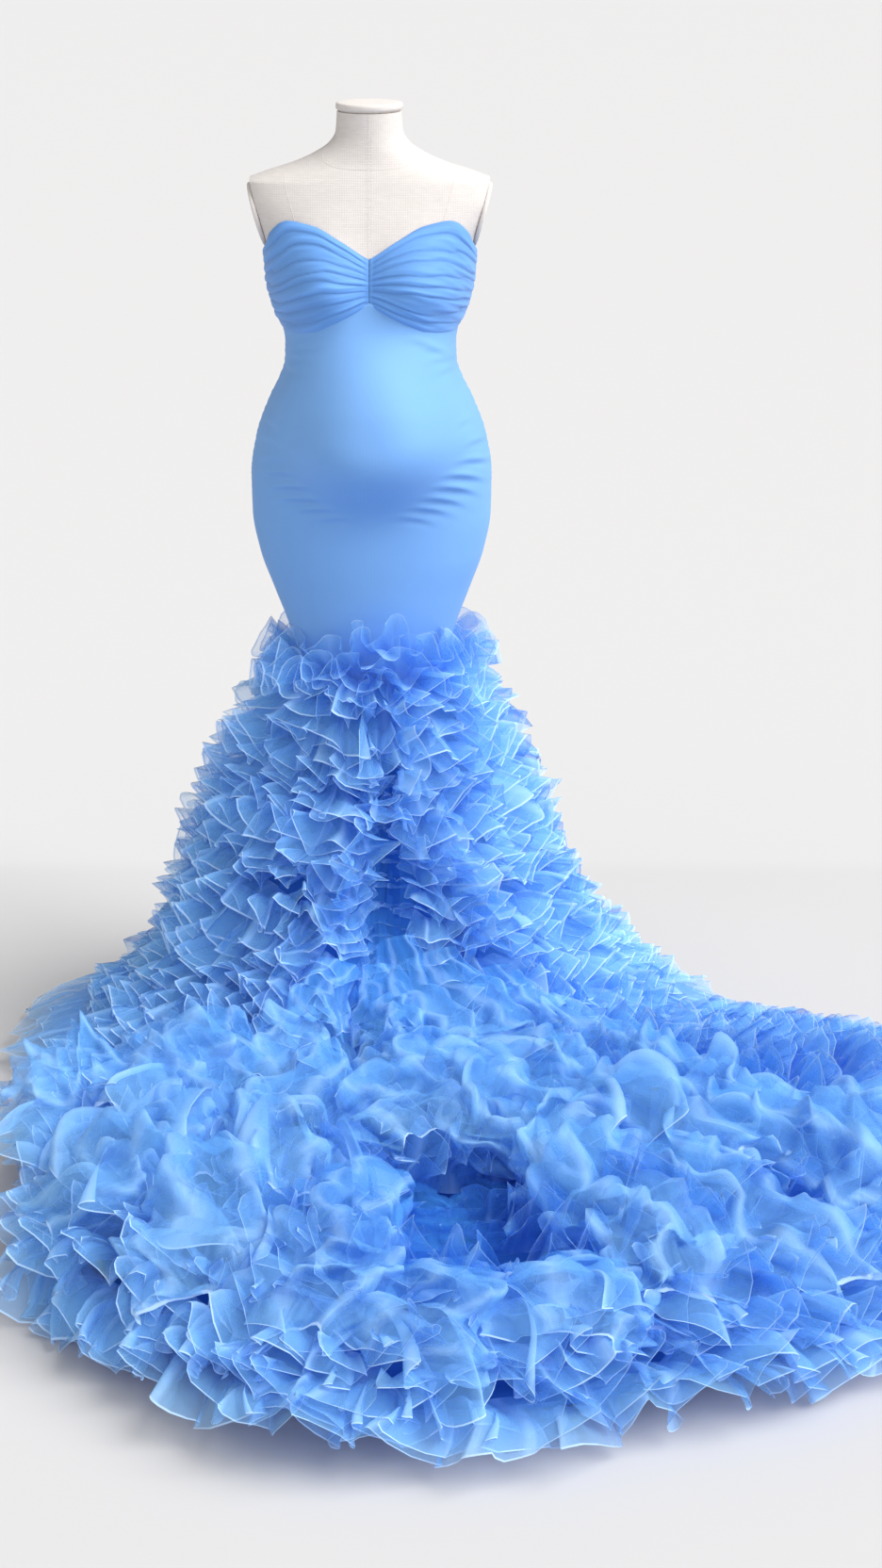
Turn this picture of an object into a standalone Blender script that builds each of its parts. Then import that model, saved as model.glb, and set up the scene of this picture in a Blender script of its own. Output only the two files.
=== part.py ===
"""Strapless mermaid maternity gown with a ruffled tulle skirt and train, worn by a dress form on a stand.

Metres, +Z up, -Y is the front of the gown, +X its left side. The origin is under the middle of the
stand's base, on the floor. Azimuths are degrees round the Z axis: 0 left side, 90 back, 270 front.
"""

import math

import bmesh
import bpy
import numpy as np
from mathutils import Matrix

# Cloth and seams
PANEL_THICKNESS = 0.002
UNDERSKIRT_THICKNESS = 0.003
RUFFLE_THICKNESS = 0.002
CUP_THICKNESS = 0.006
SEAM_GAP = 0.0004
EASE = (0.0004, 0.0040)  # between the gown's inner face and the dress form: below the bust, where it fits, and at it
RUCHING_HEIGHT = 0.0032
RUCHING_FOLDS = 7
BACK_FOLDS = 3

# Heights
KNEE_HEIGHT = 0.655  # where the jersey ends and the tulle begins
FORM_BOTTOM = 0.800
NECK_TOP = 1.535
CAP_HEIGHT = 0.014
POLE_RADIUS = 0.0125
BASE_RADIUS = 0.160
BASE_HEIGHT = 0.012
SKIRT_TOP_HEIGHTS = (0.700, 0.750)  # rows of the jersey below the form
FITTED_HEIGHTS = (  # rows that the jersey and the form share
    FORM_BOTTOM, 0.850, 0.890, 0.915, 0.935, 0.955, 0.975, 1.000, 1.030, 1.060, 1.095, 1.130, 1.165,
)
UPPER_HEIGHTS = (
    1.190, 1.215, 1.240, 1.265, 1.295, 1.330, 1.360, 1.390, 1.415, 1.430, 1.445, 1.460, 1.480,
    1.500, NECK_TOP,
)

# Armhole plates, tilted in towards the waist
PLATE_CENTRE = (0.1715, 0.003, 1.377)
PLATE_HALF_HEIGHT = 0.051
PLATE_HALF_DEPTH = 0.052
PLATE_THICKNESS = 0.007
PLATE_TILT = math.radians(15.4)

# Outside of the gown, and of the bare form above it, by height
BODY_COLUMNS = ("height", "half_width", "front", "back", "squareness")
BODY_ROWS = (
    (0.655, 0.119, 0.110, 0.093, 2.00),
    (0.717, 0.135, 0.116, 0.099, 2.10),
    (0.780, 0.158, 0.122, 0.108, 2.15),
    (0.843, 0.180, 0.128, 0.122, 2.20),
    (0.905, 0.191, 0.131, 0.131, 2.20),
    (0.967, 0.192, 0.132, 0.128, 2.20),
    (1.028, 0.183, 0.129, 0.114, 2.20),
    (1.089, 0.161, 0.122, 0.098, 2.20),
    (1.119, 0.146, 0.117, 0.092, 2.20),
    (1.149, 0.136, 0.112, 0.089, 2.20),
    (1.179, 0.135, 0.108, 0.089, 2.20),
    (1.209, 0.140, 0.106, 0.091, 2.20),
    (1.239, 0.151, 0.108, 0.094, 2.20),
    (1.269, 0.159, 0.110, 0.096, 2.25),
    (1.298, 0.162, 0.110, 0.097, 2.30),
    (1.335, 0.168, 0.105, 0.098, 2.40),
    (1.372, 0.186, 0.095, 0.095, 2.50),
    (1.405, 0.197, 0.082, 0.089, 2.60),
    (1.430, 0.198, 0.072, 0.082, 2.50),
    (1.445, 0.166, 0.066, 0.076, 2.30),
    (1.460, 0.120, 0.060, 0.071, 2.10),
    (1.475, 0.087, 0.057, 0.067, 2.00),
    (1.490, 0.065, 0.055, 0.063, 2.00),
    (1.505, 0.056, 0.054, 0.059, 2.00),
    (1.535, 0.0535, 0.0535, 0.0565, 2.00),
)

# Round forms that the cut makes room for, each pushed out of the front: the bump and the two cups
BULGE_COLUMNS = ("x", "height", "out", "half_width", "above", "below", "firmness")
BULGE_ROWS = (
    (0.000, 1.054, 0.098, 0.140, 0.156, 0.102, 1.55),
    (0.078, 1.278, 0.040, 0.060, 0.062, 0.052, 1.10),
    (-0.078, 1.278, 0.040, 0.060, 0.062, 0.052, 1.10),
)

# Upper and lower edge of a cup, from the centre front (0) to the side seam (1)
CUP_COLUMNS = ("along", "top", "bottom")
CUP_ROWS = (
    (0.00, 1.323, 1.252),
    (0.12, 1.345, 1.236),
    (0.25, 1.362, 1.222),
    (0.40, 1.371, 1.209),
    (0.62, 1.359, 1.203),
    (0.80, 1.342, 1.202),
    (1.00, 1.322, 1.205),
)
BACK_TOP = 1.300
BACK_BOTTOM = 1.202

# Profile of the underskirt, from the knee seam (0) to the hem (1). The row above the seam is only what
# the heading ruffle stands on. cone is the share of the way out from the knee to the foot of the cone,
# run the share from there to the hem, heap how much of the train's heap lies under that row, furrow how
# deep the front furrow is there
PROFILE_COLUMNS = ("share", "cone", "run", "height", "heap", "furrow")
PROFILE_ROWS = (
    (-0.110, 0.13, 0.00, 0.765, 0.00, 0.0),
    (0.000, 0.00, 0.00, 0.655, 0.00, 0.0),
    (0.030, 0.04, 0.00, 0.626, 0.00, 0.0),
    (0.080, 0.10, 0.00, 0.580, 0.00, 0.0),
    (0.160, 0.21, 0.00, 0.500, 0.00, 0.6),
    (0.250, 0.36, 0.00, 0.392, 0.00, 1.0),
    (0.340, 0.54, 0.00, 0.282, 0.00, 1.0),
    (0.430, 0.77, 0.00, 0.172, 0.00, 0.6),
    (0.500, 1.00, 0.03, 0.108, 0.20, 0.2),
    (0.560, 1.00, 0.14, 0.082, 0.60, 0.0),
    (0.640, 1.00, 0.29, 0.068, 0.90, 0.0),
    (0.760, 1.00, 0.52, 0.056, 1.00, 0.0),
    (0.880, 1.00, 0.76, 0.042, 0.80, 0.0),
    (0.960, 1.00, 0.92, 0.020, 0.30, 0.0),
    (0.992, 1.00, 0.985, 0.004, 0.00, 0.0),
    (1.000, 1.00, 1.00, 0.003, 0.00, 0.0),
)

FOOT_SHARE = 0.500  # where the train is sewn to the cone
FOOT_SEAM = 0.0003

# Plan of the skirt, by azimuth: radius of the cone's foot, reach of the hem, height of the heap
PLAN_COLUMNS = ("azimuth", "foot", "hem", "heap")
PLAN_ROWS = (
    (0, 0.430, 0.630, 0.008),
    (15, 0.420, 0.560, 0.004),
    (30, 0.410, 0.520, 0.000),
    (60, 0.380, 0.490, 0.000),
    (90, 0.370, 0.470, 0.000),
    (120, 0.375, 0.470, 0.000),
    (150, 0.390, 0.500, 0.000),
    (180, 0.410, 0.560, 0.000),
    (205, 0.430, 0.650, 0.010),
    (225, 0.450, 0.790, 0.020),
    (240, 0.470, 0.980, 0.035),
    (250, 0.480, 1.180, 0.045),
    (260, 0.490, 1.350, 0.050),
    (270, 0.490, 1.490, 0.050),
    (280, 0.490, 1.500, 0.050),
    (290, 0.490, 1.460, 0.050),
    (300, 0.480, 1.450, 0.050),
    (310, 0.470, 1.420, 0.050),
    (320, 0.460, 1.400, 0.050),
    (330, 0.450, 1.290, 0.042),
    (340, 0.440, 1.040, 0.030),
    (350, 0.440, 0.780, 0.015),
)

# The furrow down the front, where the tulle parts
FURROW_AZIMUTH = 273.0
FURROW_WIDTH = 13.0
FURROW_DEPTH = 0.032

# Ruffles sewn round the cone, by share of the profile
RING_COLUMNS = ("name", "start", "end", "stand_out", "wave")
RING_ROWS = (
    ("heading_ruffle", 0.020, -0.075, 0.055, 0.018),
    ("ruffle_01", 0.034, 0.100, 0.060, 0.018),
    ("ruffle_02", 0.085, 0.162, 0.058, 0.020),
    ("ruffle_03", 0.148, 0.228, 0.056, 0.021),
    ("ruffle_04", 0.214, 0.296, 0.056, 0.022),
    ("ruffle_05", 0.282, 0.365, 0.056, 0.022),
    ("ruffle_06", 0.352, 0.435, 0.056, 0.022),
    ("ruffle_07", 0.422, 0.498, 0.046, 0.020),
    ("ruffle_08", 0.510, 0.612, 0.058, 0.023),
)

# Ruffles sewn across the train, between two azimuths
ARC_COLUMNS = ("name", "start", "end", "stand_out", "wave", "from_azimuth", "to_azimuth")
ARC_ROWS = (
    ("train_ruffle_1", 0.588, 0.680, 0.074, 0.028, 246.0, 335.0),
    ("train_ruffle_2", 0.664, 0.760, 0.076, 0.030, 242.0, 339.0),
    ("train_ruffle_3", 0.744, 0.840, 0.076, 0.030, 238.0, 343.0),
    ("train_ruffle_4", 0.824, 0.918, 0.070, 0.028, 234.0, 347.0),
)
HEM_START = 0.905  # at the train
HEM_SETBACK = 0.180  # elsewhere, and no more
HEM_STAND_OUT = 0.062
HEM_LIFT = 0.005  # of its sewn edge, where that runs askew over the underskirt's facets
HEM_WAVE = 0.018
SKIRT_COLUMNS = 48
STEPS_A_WAVE = 4
EDGE_CLEARANCE = 0.0007  # under a ruffle's sewn edge

COLOURS = {  # base colour, roughness
    "jersey": ((0.150, 0.370, 0.850, 1.0), 0.60),
    "ruched_mesh": ((0.130, 0.330, 0.800, 1.0), 0.70),
    "tulle": ((0.110, 0.320, 0.820, 1.0), 0.80),
    "form_cloth": ((0.780, 0.750, 0.720, 1.0), 0.85),
    "stand_metal": ((0.550, 0.550, 0.560, 1.0), 0.35),
}


def curve_through(keys, values):
    """A smooth curve through the points, without overshoot: its slope at a key is the gentler one beside it."""
    keys = np.asarray(keys, float)
    values = np.asarray(values, float)
    slopes = np.diff(values) / np.diff(keys)
    ends = np.concatenate([[slopes[0]], slopes, [slopes[-1]]])
    before, after = ends[:-1], ends[1:]
    same_way = before * after > 0
    total = np.where(same_way, before + after, 1.0)
    tangents = np.where(same_way, 2 * before * after / total, 0.0)

    def at(key):
        key = np.clip(key, keys[0], keys[-1])
        i = np.clip(np.searchsorted(keys, key) - 1, 0, len(keys) - 2)
        step = keys[i + 1] - keys[i]
        t = (key - keys[i]) / step
        return (
            (1 + 2 * t) * (1 - t) ** 2 * values[i]
            + t * (1 - t) ** 2 * step * tangents[i]
            + t * t * (3 - 2 * t) * values[i + 1]
            - t * t * (1 - t) * step * tangents[i + 1]
        )

    return at


def column_curves(rows, columns):
    """One curve for each column after the first, by the first column."""
    table = np.array(rows, float)
    return {name: curve_through(table[:, 0], table[:, i]) for i, name in enumerate(columns) if i}


def straight_columns(rows, columns):
    """column_curves, but straight between the rows, so that what is sewn to a faceted wall clears it."""
    table = np.array(rows, float)
    return {
        name: (lambda key, i=i: np.interp(key, table[:, 0], table[:, i])) for i, name in enumerate(columns) if i
    }


def round_curves(rows, columns):
    """column_curves by azimuth, joined up all the way round."""
    table = np.array(rows, float)
    before, after = table[-3:].copy(), table[:3].copy()
    before[:, 0] -= 360
    after[:, 0] += 360
    around = column_curves(np.vstack([before, table, after]), columns)
    return {name: (lambda azimuth, curve=curve: curve(np.mod(azimuth, 360.0))) for name, curve in around.items()}


BODY = column_curves(BODY_ROWS, BODY_COLUMNS)
CUP = column_curves(CUP_ROWS, CUP_COLUMNS)
PROFILE = straight_columns(PROFILE_ROWS, PROFILE_COLUMNS)
PLAN = round_curves(PLAN_ROWS, PLAN_COLUMNS)
PROFILE_TABLE = np.array(PROFILE_ROWS)


def smooth_step(low, high, value):
    t = np.clip((value - low) / (high - low), 0.0, 1.0)
    return t * t * (3 - 2 * t)


def normals_of(point_at, u, v, step_u, step_v):
    """Unit normals of the surface point_at(u, v), out along du x dv."""
    du = point_at(u + step_u, v) - point_at(u - step_u, v)
    dv = point_at(u, v + step_v) - point_at(u, v - step_v)
    normals = np.cross(du, dv)
    return normals / np.linalg.norm(normals, axis=-1, keepdims=True)


def body_surface(azimuth, height):
    """Points on the outside of the fitted gown, or of the bare form above it."""
    angle = np.radians(azimuth)
    c, s = np.cos(angle), np.sin(angle)
    power = 2 / BODY["squareness"](height)
    depth = np.where(s > 0, BODY["back"](height), BODY["front"](height))
    x = BODY["half_width"](height) * np.sign(c) * np.abs(c) ** power
    y = depth * np.sign(s) * np.abs(s) ** power
    for row in BULGE_ROWS:
        bulge = dict(zip(BULGE_COLUMNS, row))
        rise = np.where(height > bulge["height"], bulge["above"], bulge["below"])
        away = ((x - bulge["x"]) / bulge["half_width"]) ** 2 + ((height - bulge["height"]) / rise) ** 2
        y = y - bulge["out"] * np.exp(-(away ** bulge["firmness"])) * smooth_step(0.0, 0.55, -s)
    return np.stack([x, y, height + 0 * x], axis=-1)


def body_points(azimuth, height, out):
    """body_surface moved out along its normals."""
    azimuth, height = np.broadcast_arrays(azimuth, height)
    normals = normals_of(body_surface, azimuth, height, 0.5, 0.001)
    return body_surface(azimuth, height) + normals * np.asarray(out)[..., None]


def azimuth_beside(seam_azimuth, half_gap, height):
    """Degrees from a seam at 0, 90, 180 or 270 to a point that is half a gap to its side."""
    across = BODY["half_width"](height) if seam_azimuth in (90, 270) else BODY["front"](height)
    return math.degrees((half_gap / across) ** (BODY["squareness"](height) / 2))


def furrow(azimuth, share):
    return FURROW_DEPTH * PROFILE["furrow"](share) * np.exp(-(((azimuth - FURROW_AZIMUTH) / FURROW_WIDTH) ** 2))


def skirt_surface(azimuth, share):
    """Points on the outside of the underskirt."""
    angle = np.radians(azimuth)
    c, s = np.cos(angle), np.sin(angle)
    knee_depth = np.where(s > 0, BODY["back"](KNEE_HEIGHT), BODY["front"](KNEE_HEIGHT))
    knee = 1 / np.sqrt((c / BODY["half_width"](KNEE_HEIGHT)) ** 2 + (s / knee_depth) ** 2)
    foot, hem = PLAN["foot"](azimuth), PLAN["hem"](azimuth)
    radius = knee + PROFILE["cone"](share) * (foot - knee) + PROFILE["run"](share) * (hem - foot)
    radius = radius - furrow(np.mod(azimuth, 360.0), share)
    height = PROFILE["height"](share) + PROFILE["heap"](share) * PLAN["heap"](azimuth)
    return np.stack([radius * c, radius * s, height + 0 * radius], axis=-1)


def skirt_points(azimuth, share, out):
    """skirt_surface moved out along its normals."""
    azimuth, share = np.broadcast_arrays(azimuth, share)
    inner_share = np.clip(share, -0.1, 0.996)
    normals = normals_of(skirt_surface, azimuth, inner_share, 0.5, 0.003)
    outward = np.sum(normals * np.stack([np.cos(np.radians(azimuth)), np.sin(np.radians(azimuth)), 1 + 0 * share], -1), -1)
    normals = normals * np.where(outward < 0, -1.0, 1.0)[..., None]
    return skirt_surface(azimuth, share) + normals * np.asarray(out)[..., None]


def run_share(azimuth, setback):
    """Share of the profile that lies that far in from the hem."""
    run = PLAN["hem"](azimuth) - PLAN["foot"](azimuth)
    on_the_run = PROFILE_TABLE[PROFILE_TABLE[:, 2] > 0]
    return np.interp(np.clip(1 - setback / run, 0.28, 1.0), on_the_run[:, 2], on_the_run[:, 0])


def skirt_azimuths():
    """The columns of the underskirt, evenly spaced round the foot of its cone."""
    return evenly_along(lambda azimuth: skirt_surface(azimuth, 0.55), 0.0, 360.0, SKIRT_COLUMNS + 1)[:-1]


def on_columns(columns, share, out):
    """Points out from the underskirt's facets. A column such as 3.5 lies halfway between columns 3 and 4."""
    azimuths = skirt_azimuths()
    first = np.floor(columns).astype(int)
    beside = (columns - first)[None, :, None]
    ends = []
    for column in (first, first + 1):
        azimuth = azimuths[column % SKIRT_COLUMNS]
        ends.append((skirt_points(azimuth, share, 0 * share), skirt_points(azimuth, share, 1 + 0 * share)))
    (base_a, tip_a), (base_b, tip_b) = ends
    base = base_a + (base_b - base_a) * beside
    normal = (tip_a - base_a) * (1 - beside) + (tip_b - base_b) * beside
    normal /= np.linalg.norm(normal, axis=-1, keepdims=True)
    return base + normal * out[..., None]


def evenly_along(path_at, first, last, count):
    """count parameters from first to last whose points on the path are evenly spaced."""
    fine = np.linspace(first, last, 721)
    lengths = np.linalg.norm(np.diff(path_at(fine), axis=0), axis=1)
    along = np.concatenate([[0.0], np.cumsum(lengths)])
    return np.interp(np.linspace(0, along[-1], count), along, fine)


def new_object(name, mesh, collection, finish):
    obj = bpy.data.objects.new(name, mesh)
    collection.objects.link(obj)
    obj.data.materials.append(finish)
    return obj


def smooth(mesh, sharp_degrees=40):
    mesh.shade_smooth()
    mesh.set_sharp_from_angle(angle=math.radians(sharp_degrees))


def mesh_from(name, points, faces):
    mesh = bpy.data.meshes.new(name)
    mesh.from_pydata([tuple(p) for p in points], [], faces)
    bm = bmesh.new()
    bm.from_mesh(mesh)
    bmesh.ops.recalc_face_normals(bm, faces=bm.faces)
    bm.to_mesh(mesh)
    bm.free()
    smooth(mesh)
    return mesh


def cloth_wall(name, outer, inner, collection, finish, wraps=False):
    """A closed wall between two sheets of points, rows by columns. A wrapping one joins its last column to its first."""
    rows, columns = outer.shape[:2]
    points = np.concatenate([outer.reshape(-1, 3), inner.reshape(-1, 3)])
    inside = rows * columns
    faces = []
    steps = columns if wraps else columns - 1
    for row in range(rows - 1):
        for column in range(steps):
            a = row * columns + column
            b = row * columns + (column + 1) % columns
            c, d = b + columns, a + columns
            for corners in ((a, b, c), (a, c, d)):
                faces.append(corners)
                faces.append(tuple(inside + corner for corner in reversed(corners)))
    for column in range(steps):
        after = (column + 1) % columns
        faces.append((after, column, inside + column, inside + after))
        last = (rows - 1) * columns
        faces.append((last + column, last + after, inside + last + after, inside + last + column))
    if not wraps:
        for row in range(rows - 1):
            for column in (0, columns - 1):
                a, b = row * columns + column, (row + 1) * columns + column
                faces.append((a, b, inside + b, inside + a))
    return new_object(name, mesh_from(name, points, faces), collection, finish)


def solid_of_rings(name, rings, collection, finish):
    """A closed solid through rings of points, with a flat face at each end."""
    rows, columns = rings.shape[:2]
    faces = []
    for row in range(rows - 1):
        for column in range(columns):
            a = row * columns + column
            b = row * columns + (column + 1) % columns
            c, d = b + columns, a + columns
            faces += [(a, b, c), (a, c, d)]
    faces.append(tuple(range(columns)))
    faces.append(tuple(range((rows - 1) * columns, rows * columns)))
    return new_object(name, mesh_from(name, rings.reshape(-1, 3), faces), collection, finish)


def turned(name, radius, height, bottom, collection, finish, sides=24, bevel=0.002):
    """A round block standing on its bottom height, with its rims eased."""
    bm = bmesh.new()
    bmesh.ops.create_cone(
        bm,
        cap_ends=True,
        segments=sides,
        radius1=radius,
        radius2=radius,
        depth=height,
        matrix=Matrix.Translation((0, 0, bottom + height / 2)),
    )
    mesh = bpy.data.meshes.new(name)
    bm.to_mesh(mesh)
    bm.free()
    smooth(mesh)
    obj = new_object(name, mesh, collection, finish)
    if bevel:
        rim = obj.modifiers.new("eased rims", "BEVEL")
        rim.width = bevel
        rim.segments = 2
        rim.angle_limit = math.radians(50)
    return obj


def material(name):
    colour, roughness = COLOURS[name]
    made = bpy.data.materials.new(name)
    made.use_nodes = True
    shader = made.node_tree.nodes["Principled BSDF"]
    shader.inputs["Base Color"].default_value = colour
    shader.inputs["Roughness"].default_value = roughness
    shader.inputs["Metallic"].default_value = 1.0 if name == "stand_metal" else 0.0
    return made


def armhole_matrix(side):
    """The plane of an armhole plate: its Z axis points out of the shoulder, and leans down."""
    x, y, z = PLATE_CENTRE
    lean = Matrix.Rotation(side * (math.pi / 2 + PLATE_TILT), 4, "Y")
    return Matrix.Translation((side * x, y, z)) @ lean


def make_form(collection, cutters, finish):
    """The bare dress form: neck, shoulders, bust and bump, cut flat at the armholes."""
    heights = np.array(FITTED_HEIGHTS + UPPER_HEIGHTS)
    back, front = back_azimuths(), front_azimuths()
    around = np.concatenate([[0.0], back[1:-1], [180.0], front[1:-1]])
    ease = EASE[0] + (EASE[1] - EASE[0]) * smooth_step(1.165, 1.20, heights[:, None])
    rings = body_points(around[None, :], heights[:, None], -(PANEL_THICKNESS + ease) + 0 * around)
    rings[..., 2] = heights[:, None]
    form = solid_of_rings("form_body", rings, collection, finish)
    for side in (1, -1):
        bm = bmesh.new()
        bmesh.ops.create_cube(bm, size=1.0)
        bmesh.ops.scale(bm, vec=(0.16, 0.30, 0.06), verts=bm.verts)
        bmesh.ops.translate(bm, vec=(0, 0, 0.03), verts=bm.verts)
        bmesh.ops.transform(bm, matrix=armhole_matrix(side), verts=bm.verts)
        bmesh.ops.recalc_face_normals(bm, faces=bm.faces)
        mesh = bpy.data.meshes.new("armhole_cutter")
        bm.to_mesh(mesh)
        bm.free()
        cutter = bpy.data.objects.new("armhole_cutter", mesh)
        cutters.objects.link(cutter)
        cutter.hide_render = True
        cutter.display_type = "WIRE"
        cut = form.modifiers.new("armhole", "BOOLEAN")
        cut.operation = "DIFFERENCE"
        cut.solver = "EXACT"
        cut.object = cutter
    return form


def make_armhole_plate(name, side, collection, finish):
    bm = bmesh.new()
    bmesh.ops.create_cone(bm, cap_ends=True, segments=24, radius1=1.0, radius2=1.0, depth=1.0)
    bmesh.ops.scale(bm, vec=(PLATE_HALF_HEIGHT, PLATE_HALF_DEPTH, PLATE_THICKNESS), verts=bm.verts)
    bmesh.ops.translate(bm, vec=(0, 0, PLATE_THICKNESS / 2 + SEAM_GAP), verts=bm.verts)
    bmesh.ops.transform(bm, matrix=armhole_matrix(side), verts=bm.verts)
    mesh = bpy.data.meshes.new(name)
    bm.to_mesh(mesh)
    bm.free()
    smooth(mesh)
    plate = new_object(name, mesh, collection, finish)
    rim = plate.modifiers.new("eased rim", "BEVEL")
    rim.width = 0.002
    rim.segments = 1
    rim.angle_limit = math.radians(50)
    return plate


def make_stand(collection, form_finish, metal):
    cap = turned("neck_cap", 0.052, CAP_HEIGHT, NECK_TOP + SEAM_GAP, collection, form_finish, bevel=0.004)
    pole_bottom = BASE_HEIGHT + SEAM_GAP
    pole_length = FORM_BOTTOM - SEAM_GAP - pole_bottom
    turned("stand_pole", POLE_RADIUS, pole_length, pole_bottom, collection, metal, sides=20, bevel=0)
    turned("stand_base", BASE_RADIUS, BASE_HEIGHT, 0.0, collection, metal, sides=28, bevel=0.003)
    return cap


def cup_along(azimuth):
    """0 at the centre front, 1 at a side seam."""
    return np.abs(azimuth - 270.0) / 90.0


def cup_azimuths(side):
    """The columns of a cup, from the centre seam to the side seam. The front panel has them too."""
    centre = azimuth_beside(270, SEAM_GAP / 2, 1.29)
    seam = azimuth_beside(0, SEAM_GAP / 2, 1.27)
    return 270 + side * np.linspace(centre, 90 - seam, 11)


def front_azimuths():
    return np.concatenate([cup_azimuths(-1)[:0:-1], [270.0], cup_azimuths(1)[1:]])


def back_azimuths():
    seam = azimuth_beside(0, SEAM_GAP / 2, 1.27)
    return np.linspace(seam, 180 - seam, 11)


def make_cup(name, side, collection, finish):
    """One ruched half of the sweetheart bust: folds spread from the centre seam to the side seam."""
    rows = 2 * RUCHING_FOLDS + 1
    azimuth = cup_azimuths(side)
    along = cup_along(azimuth)
    upward = np.linspace(0, 1, rows)[:, None]
    bottom, top = CUP["bottom"](cup_along(azimuth)), CUP["top"](cup_along(azimuth))
    height = bottom + (top - bottom) * upward
    azimuth = np.broadcast_to(azimuth, height.shape)
    fold = np.where(np.arange(rows) % 2 == 1, RUCHING_HEIGHT, 0.0)[:, None] * (0.45 + 0.55 * np.sin(math.pi * along) ** 0.5)
    outer = body_points(azimuth, height, CUP_THICKNESS - PANEL_THICKNESS + fold)
    inner = body_points(azimuth, height, np.full(height.shape, -PANEL_THICKNESS))
    return cloth_wall(name, outer, inner, collection, finish)


def back_edges(azimuth):
    """Lower and upper edge of the back band, which meets the cups at the side seams."""
    round_the_back = np.sin(np.radians(azimuth)) ** 0.7
    bottom = CUP["bottom"](1.0) + (BACK_BOTTOM - CUP["bottom"](1.0)) * round_the_back
    top = CUP["top"](1.0) + (BACK_TOP - CUP["top"](1.0)) * round_the_back
    return bottom, top


def make_back_band(collection, finish):
    rows, columns = 2 * BACK_FOLDS + 1, 15
    seam = azimuth_beside(0, SEAM_GAP / 2, 1.27)
    azimuth = np.linspace(seam, 180 - seam, columns)
    bottom, top = back_edges(azimuth)
    height = bottom + (top - bottom) * np.linspace(0, 1, rows)[:, None]
    azimuth = np.broadcast_to(azimuth, height.shape)
    fold = np.where(np.arange(rows) % 2 == 1, 0.7 * RUCHING_HEIGHT, 0.0)[:, None] + 0 * height
    outer = body_points(azimuth, height, 0.6 * CUP_THICKNESS - PANEL_THICKNESS + fold)
    inner = body_points(azimuth, height, np.full(height.shape, -PANEL_THICKNESS))
    return cloth_wall("back_band", outer, inner, collection, finish)


def make_panel(name, azimuth, edge_at, collection, finish):
    """A jersey panel from the knee seam up to the ruched bust, between two side seams."""
    top = edge_at(azimuth)[None, :] - SEAM_GAP
    rows = np.array((KNEE_HEIGHT + SEAM_GAP,) + SKIRT_TOP_HEIGHTS + FITTED_HEIGHTS)[:, None] + 0 * top
    last = rows[-1:]
    height = np.concatenate([rows, last + (top - last) * 0.5, top])
    azimuth = np.broadcast_to(azimuth, height.shape)
    outer = body_surface(azimuth, height)
    inner = body_points(azimuth, height, np.full(height.shape, -PANEL_THICKNESS))
    inner[..., 2] = height
    return cloth_wall(name, outer, inner, collection, finish)


def make_skirt_wall(name, shares, collection, finish):
    """A stretch of the flared tulle skirt that the ruffles are sewn to."""
    azimuth = np.broadcast_to(skirt_azimuths(), (len(shares), SKIRT_COLUMNS))
    share = np.broadcast_to(shares[:, None], azimuth.shape)
    outer = skirt_surface(azimuth, share)
    inner = skirt_points(azimuth, share, np.full(share.shape, -UNDERSKIRT_THICKNESS))
    if shares[0] == 0.0:
        inner[0, :, 2] = KNEE_HEIGHT
    if shares[-1] == 1.0:  # the hem lies flat on the floor
        for row in (-1, -2):
            inner[row, :, :2] = outer[row, :, :2]
            inner[row, :, 2] = 0.0
            outer[row, :, 2] = UNDERSKIRT_THICKNESS
    return cloth_wall(name, outer, inner, collection, finish, wraps=True)


def make_underskirt(collection, finish):
    """The cone from the knee to its foot, and the skirt's spread on the floor with the train."""
    shares = PROFILE_TABLE[1:, 0]
    cone = np.append(shares[shares < FOOT_SHARE], FOOT_SHARE - FOOT_SEAM)
    make_skirt_wall("underskirt", cone, collection, finish)
    make_skirt_wall("train_panel", shares[shares >= FOOT_SHARE], collection, finish)


def ruffle_wall(
    name, columns, start, end, stand_out, wave, collection, finish, wraps=False, returns=False, clear=EDGE_CLEARANCE
):
    """A gathered strip sewn at the share start and free at the share end of the underskirt's profile.

    It stands out more and more towards its free edge, where its waves are full. A strip that returns
    arches over and comes back down to the floor.
    """
    along = np.linspace(0, 1, len(columns) + 1)[:-1] if wraps else np.linspace(0, 1, len(columns))
    across = np.array([0.0, 0.5, 1.0])[:, None]
    share = start + (end - start) * across + 0 * along
    ends = 1.0 if wraps else 0.45 + 0.55 * np.sin(math.pi * along) ** 0.5
    quarter_turns = np.arange(len(columns))
    ripple = np.sin(2 * math.pi * quarter_turns / STEPS_A_WAVE) * wave * ends
    if returns:
        shape = np.array([0.0, 1.0, 0.30])[:, None]
        swing = shape
    else:
        shape = across**0.8
        swing = across**1.3
    rise = stand_out * ends * shape + ripple * swing + clear
    outer = on_columns(columns, share, rise + RUFFLE_THICKNESS)
    inner = on_columns(columns, share, rise)
    return cloth_wall(name, outer, inner, collection, finish, wraps=wraps)


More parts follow.
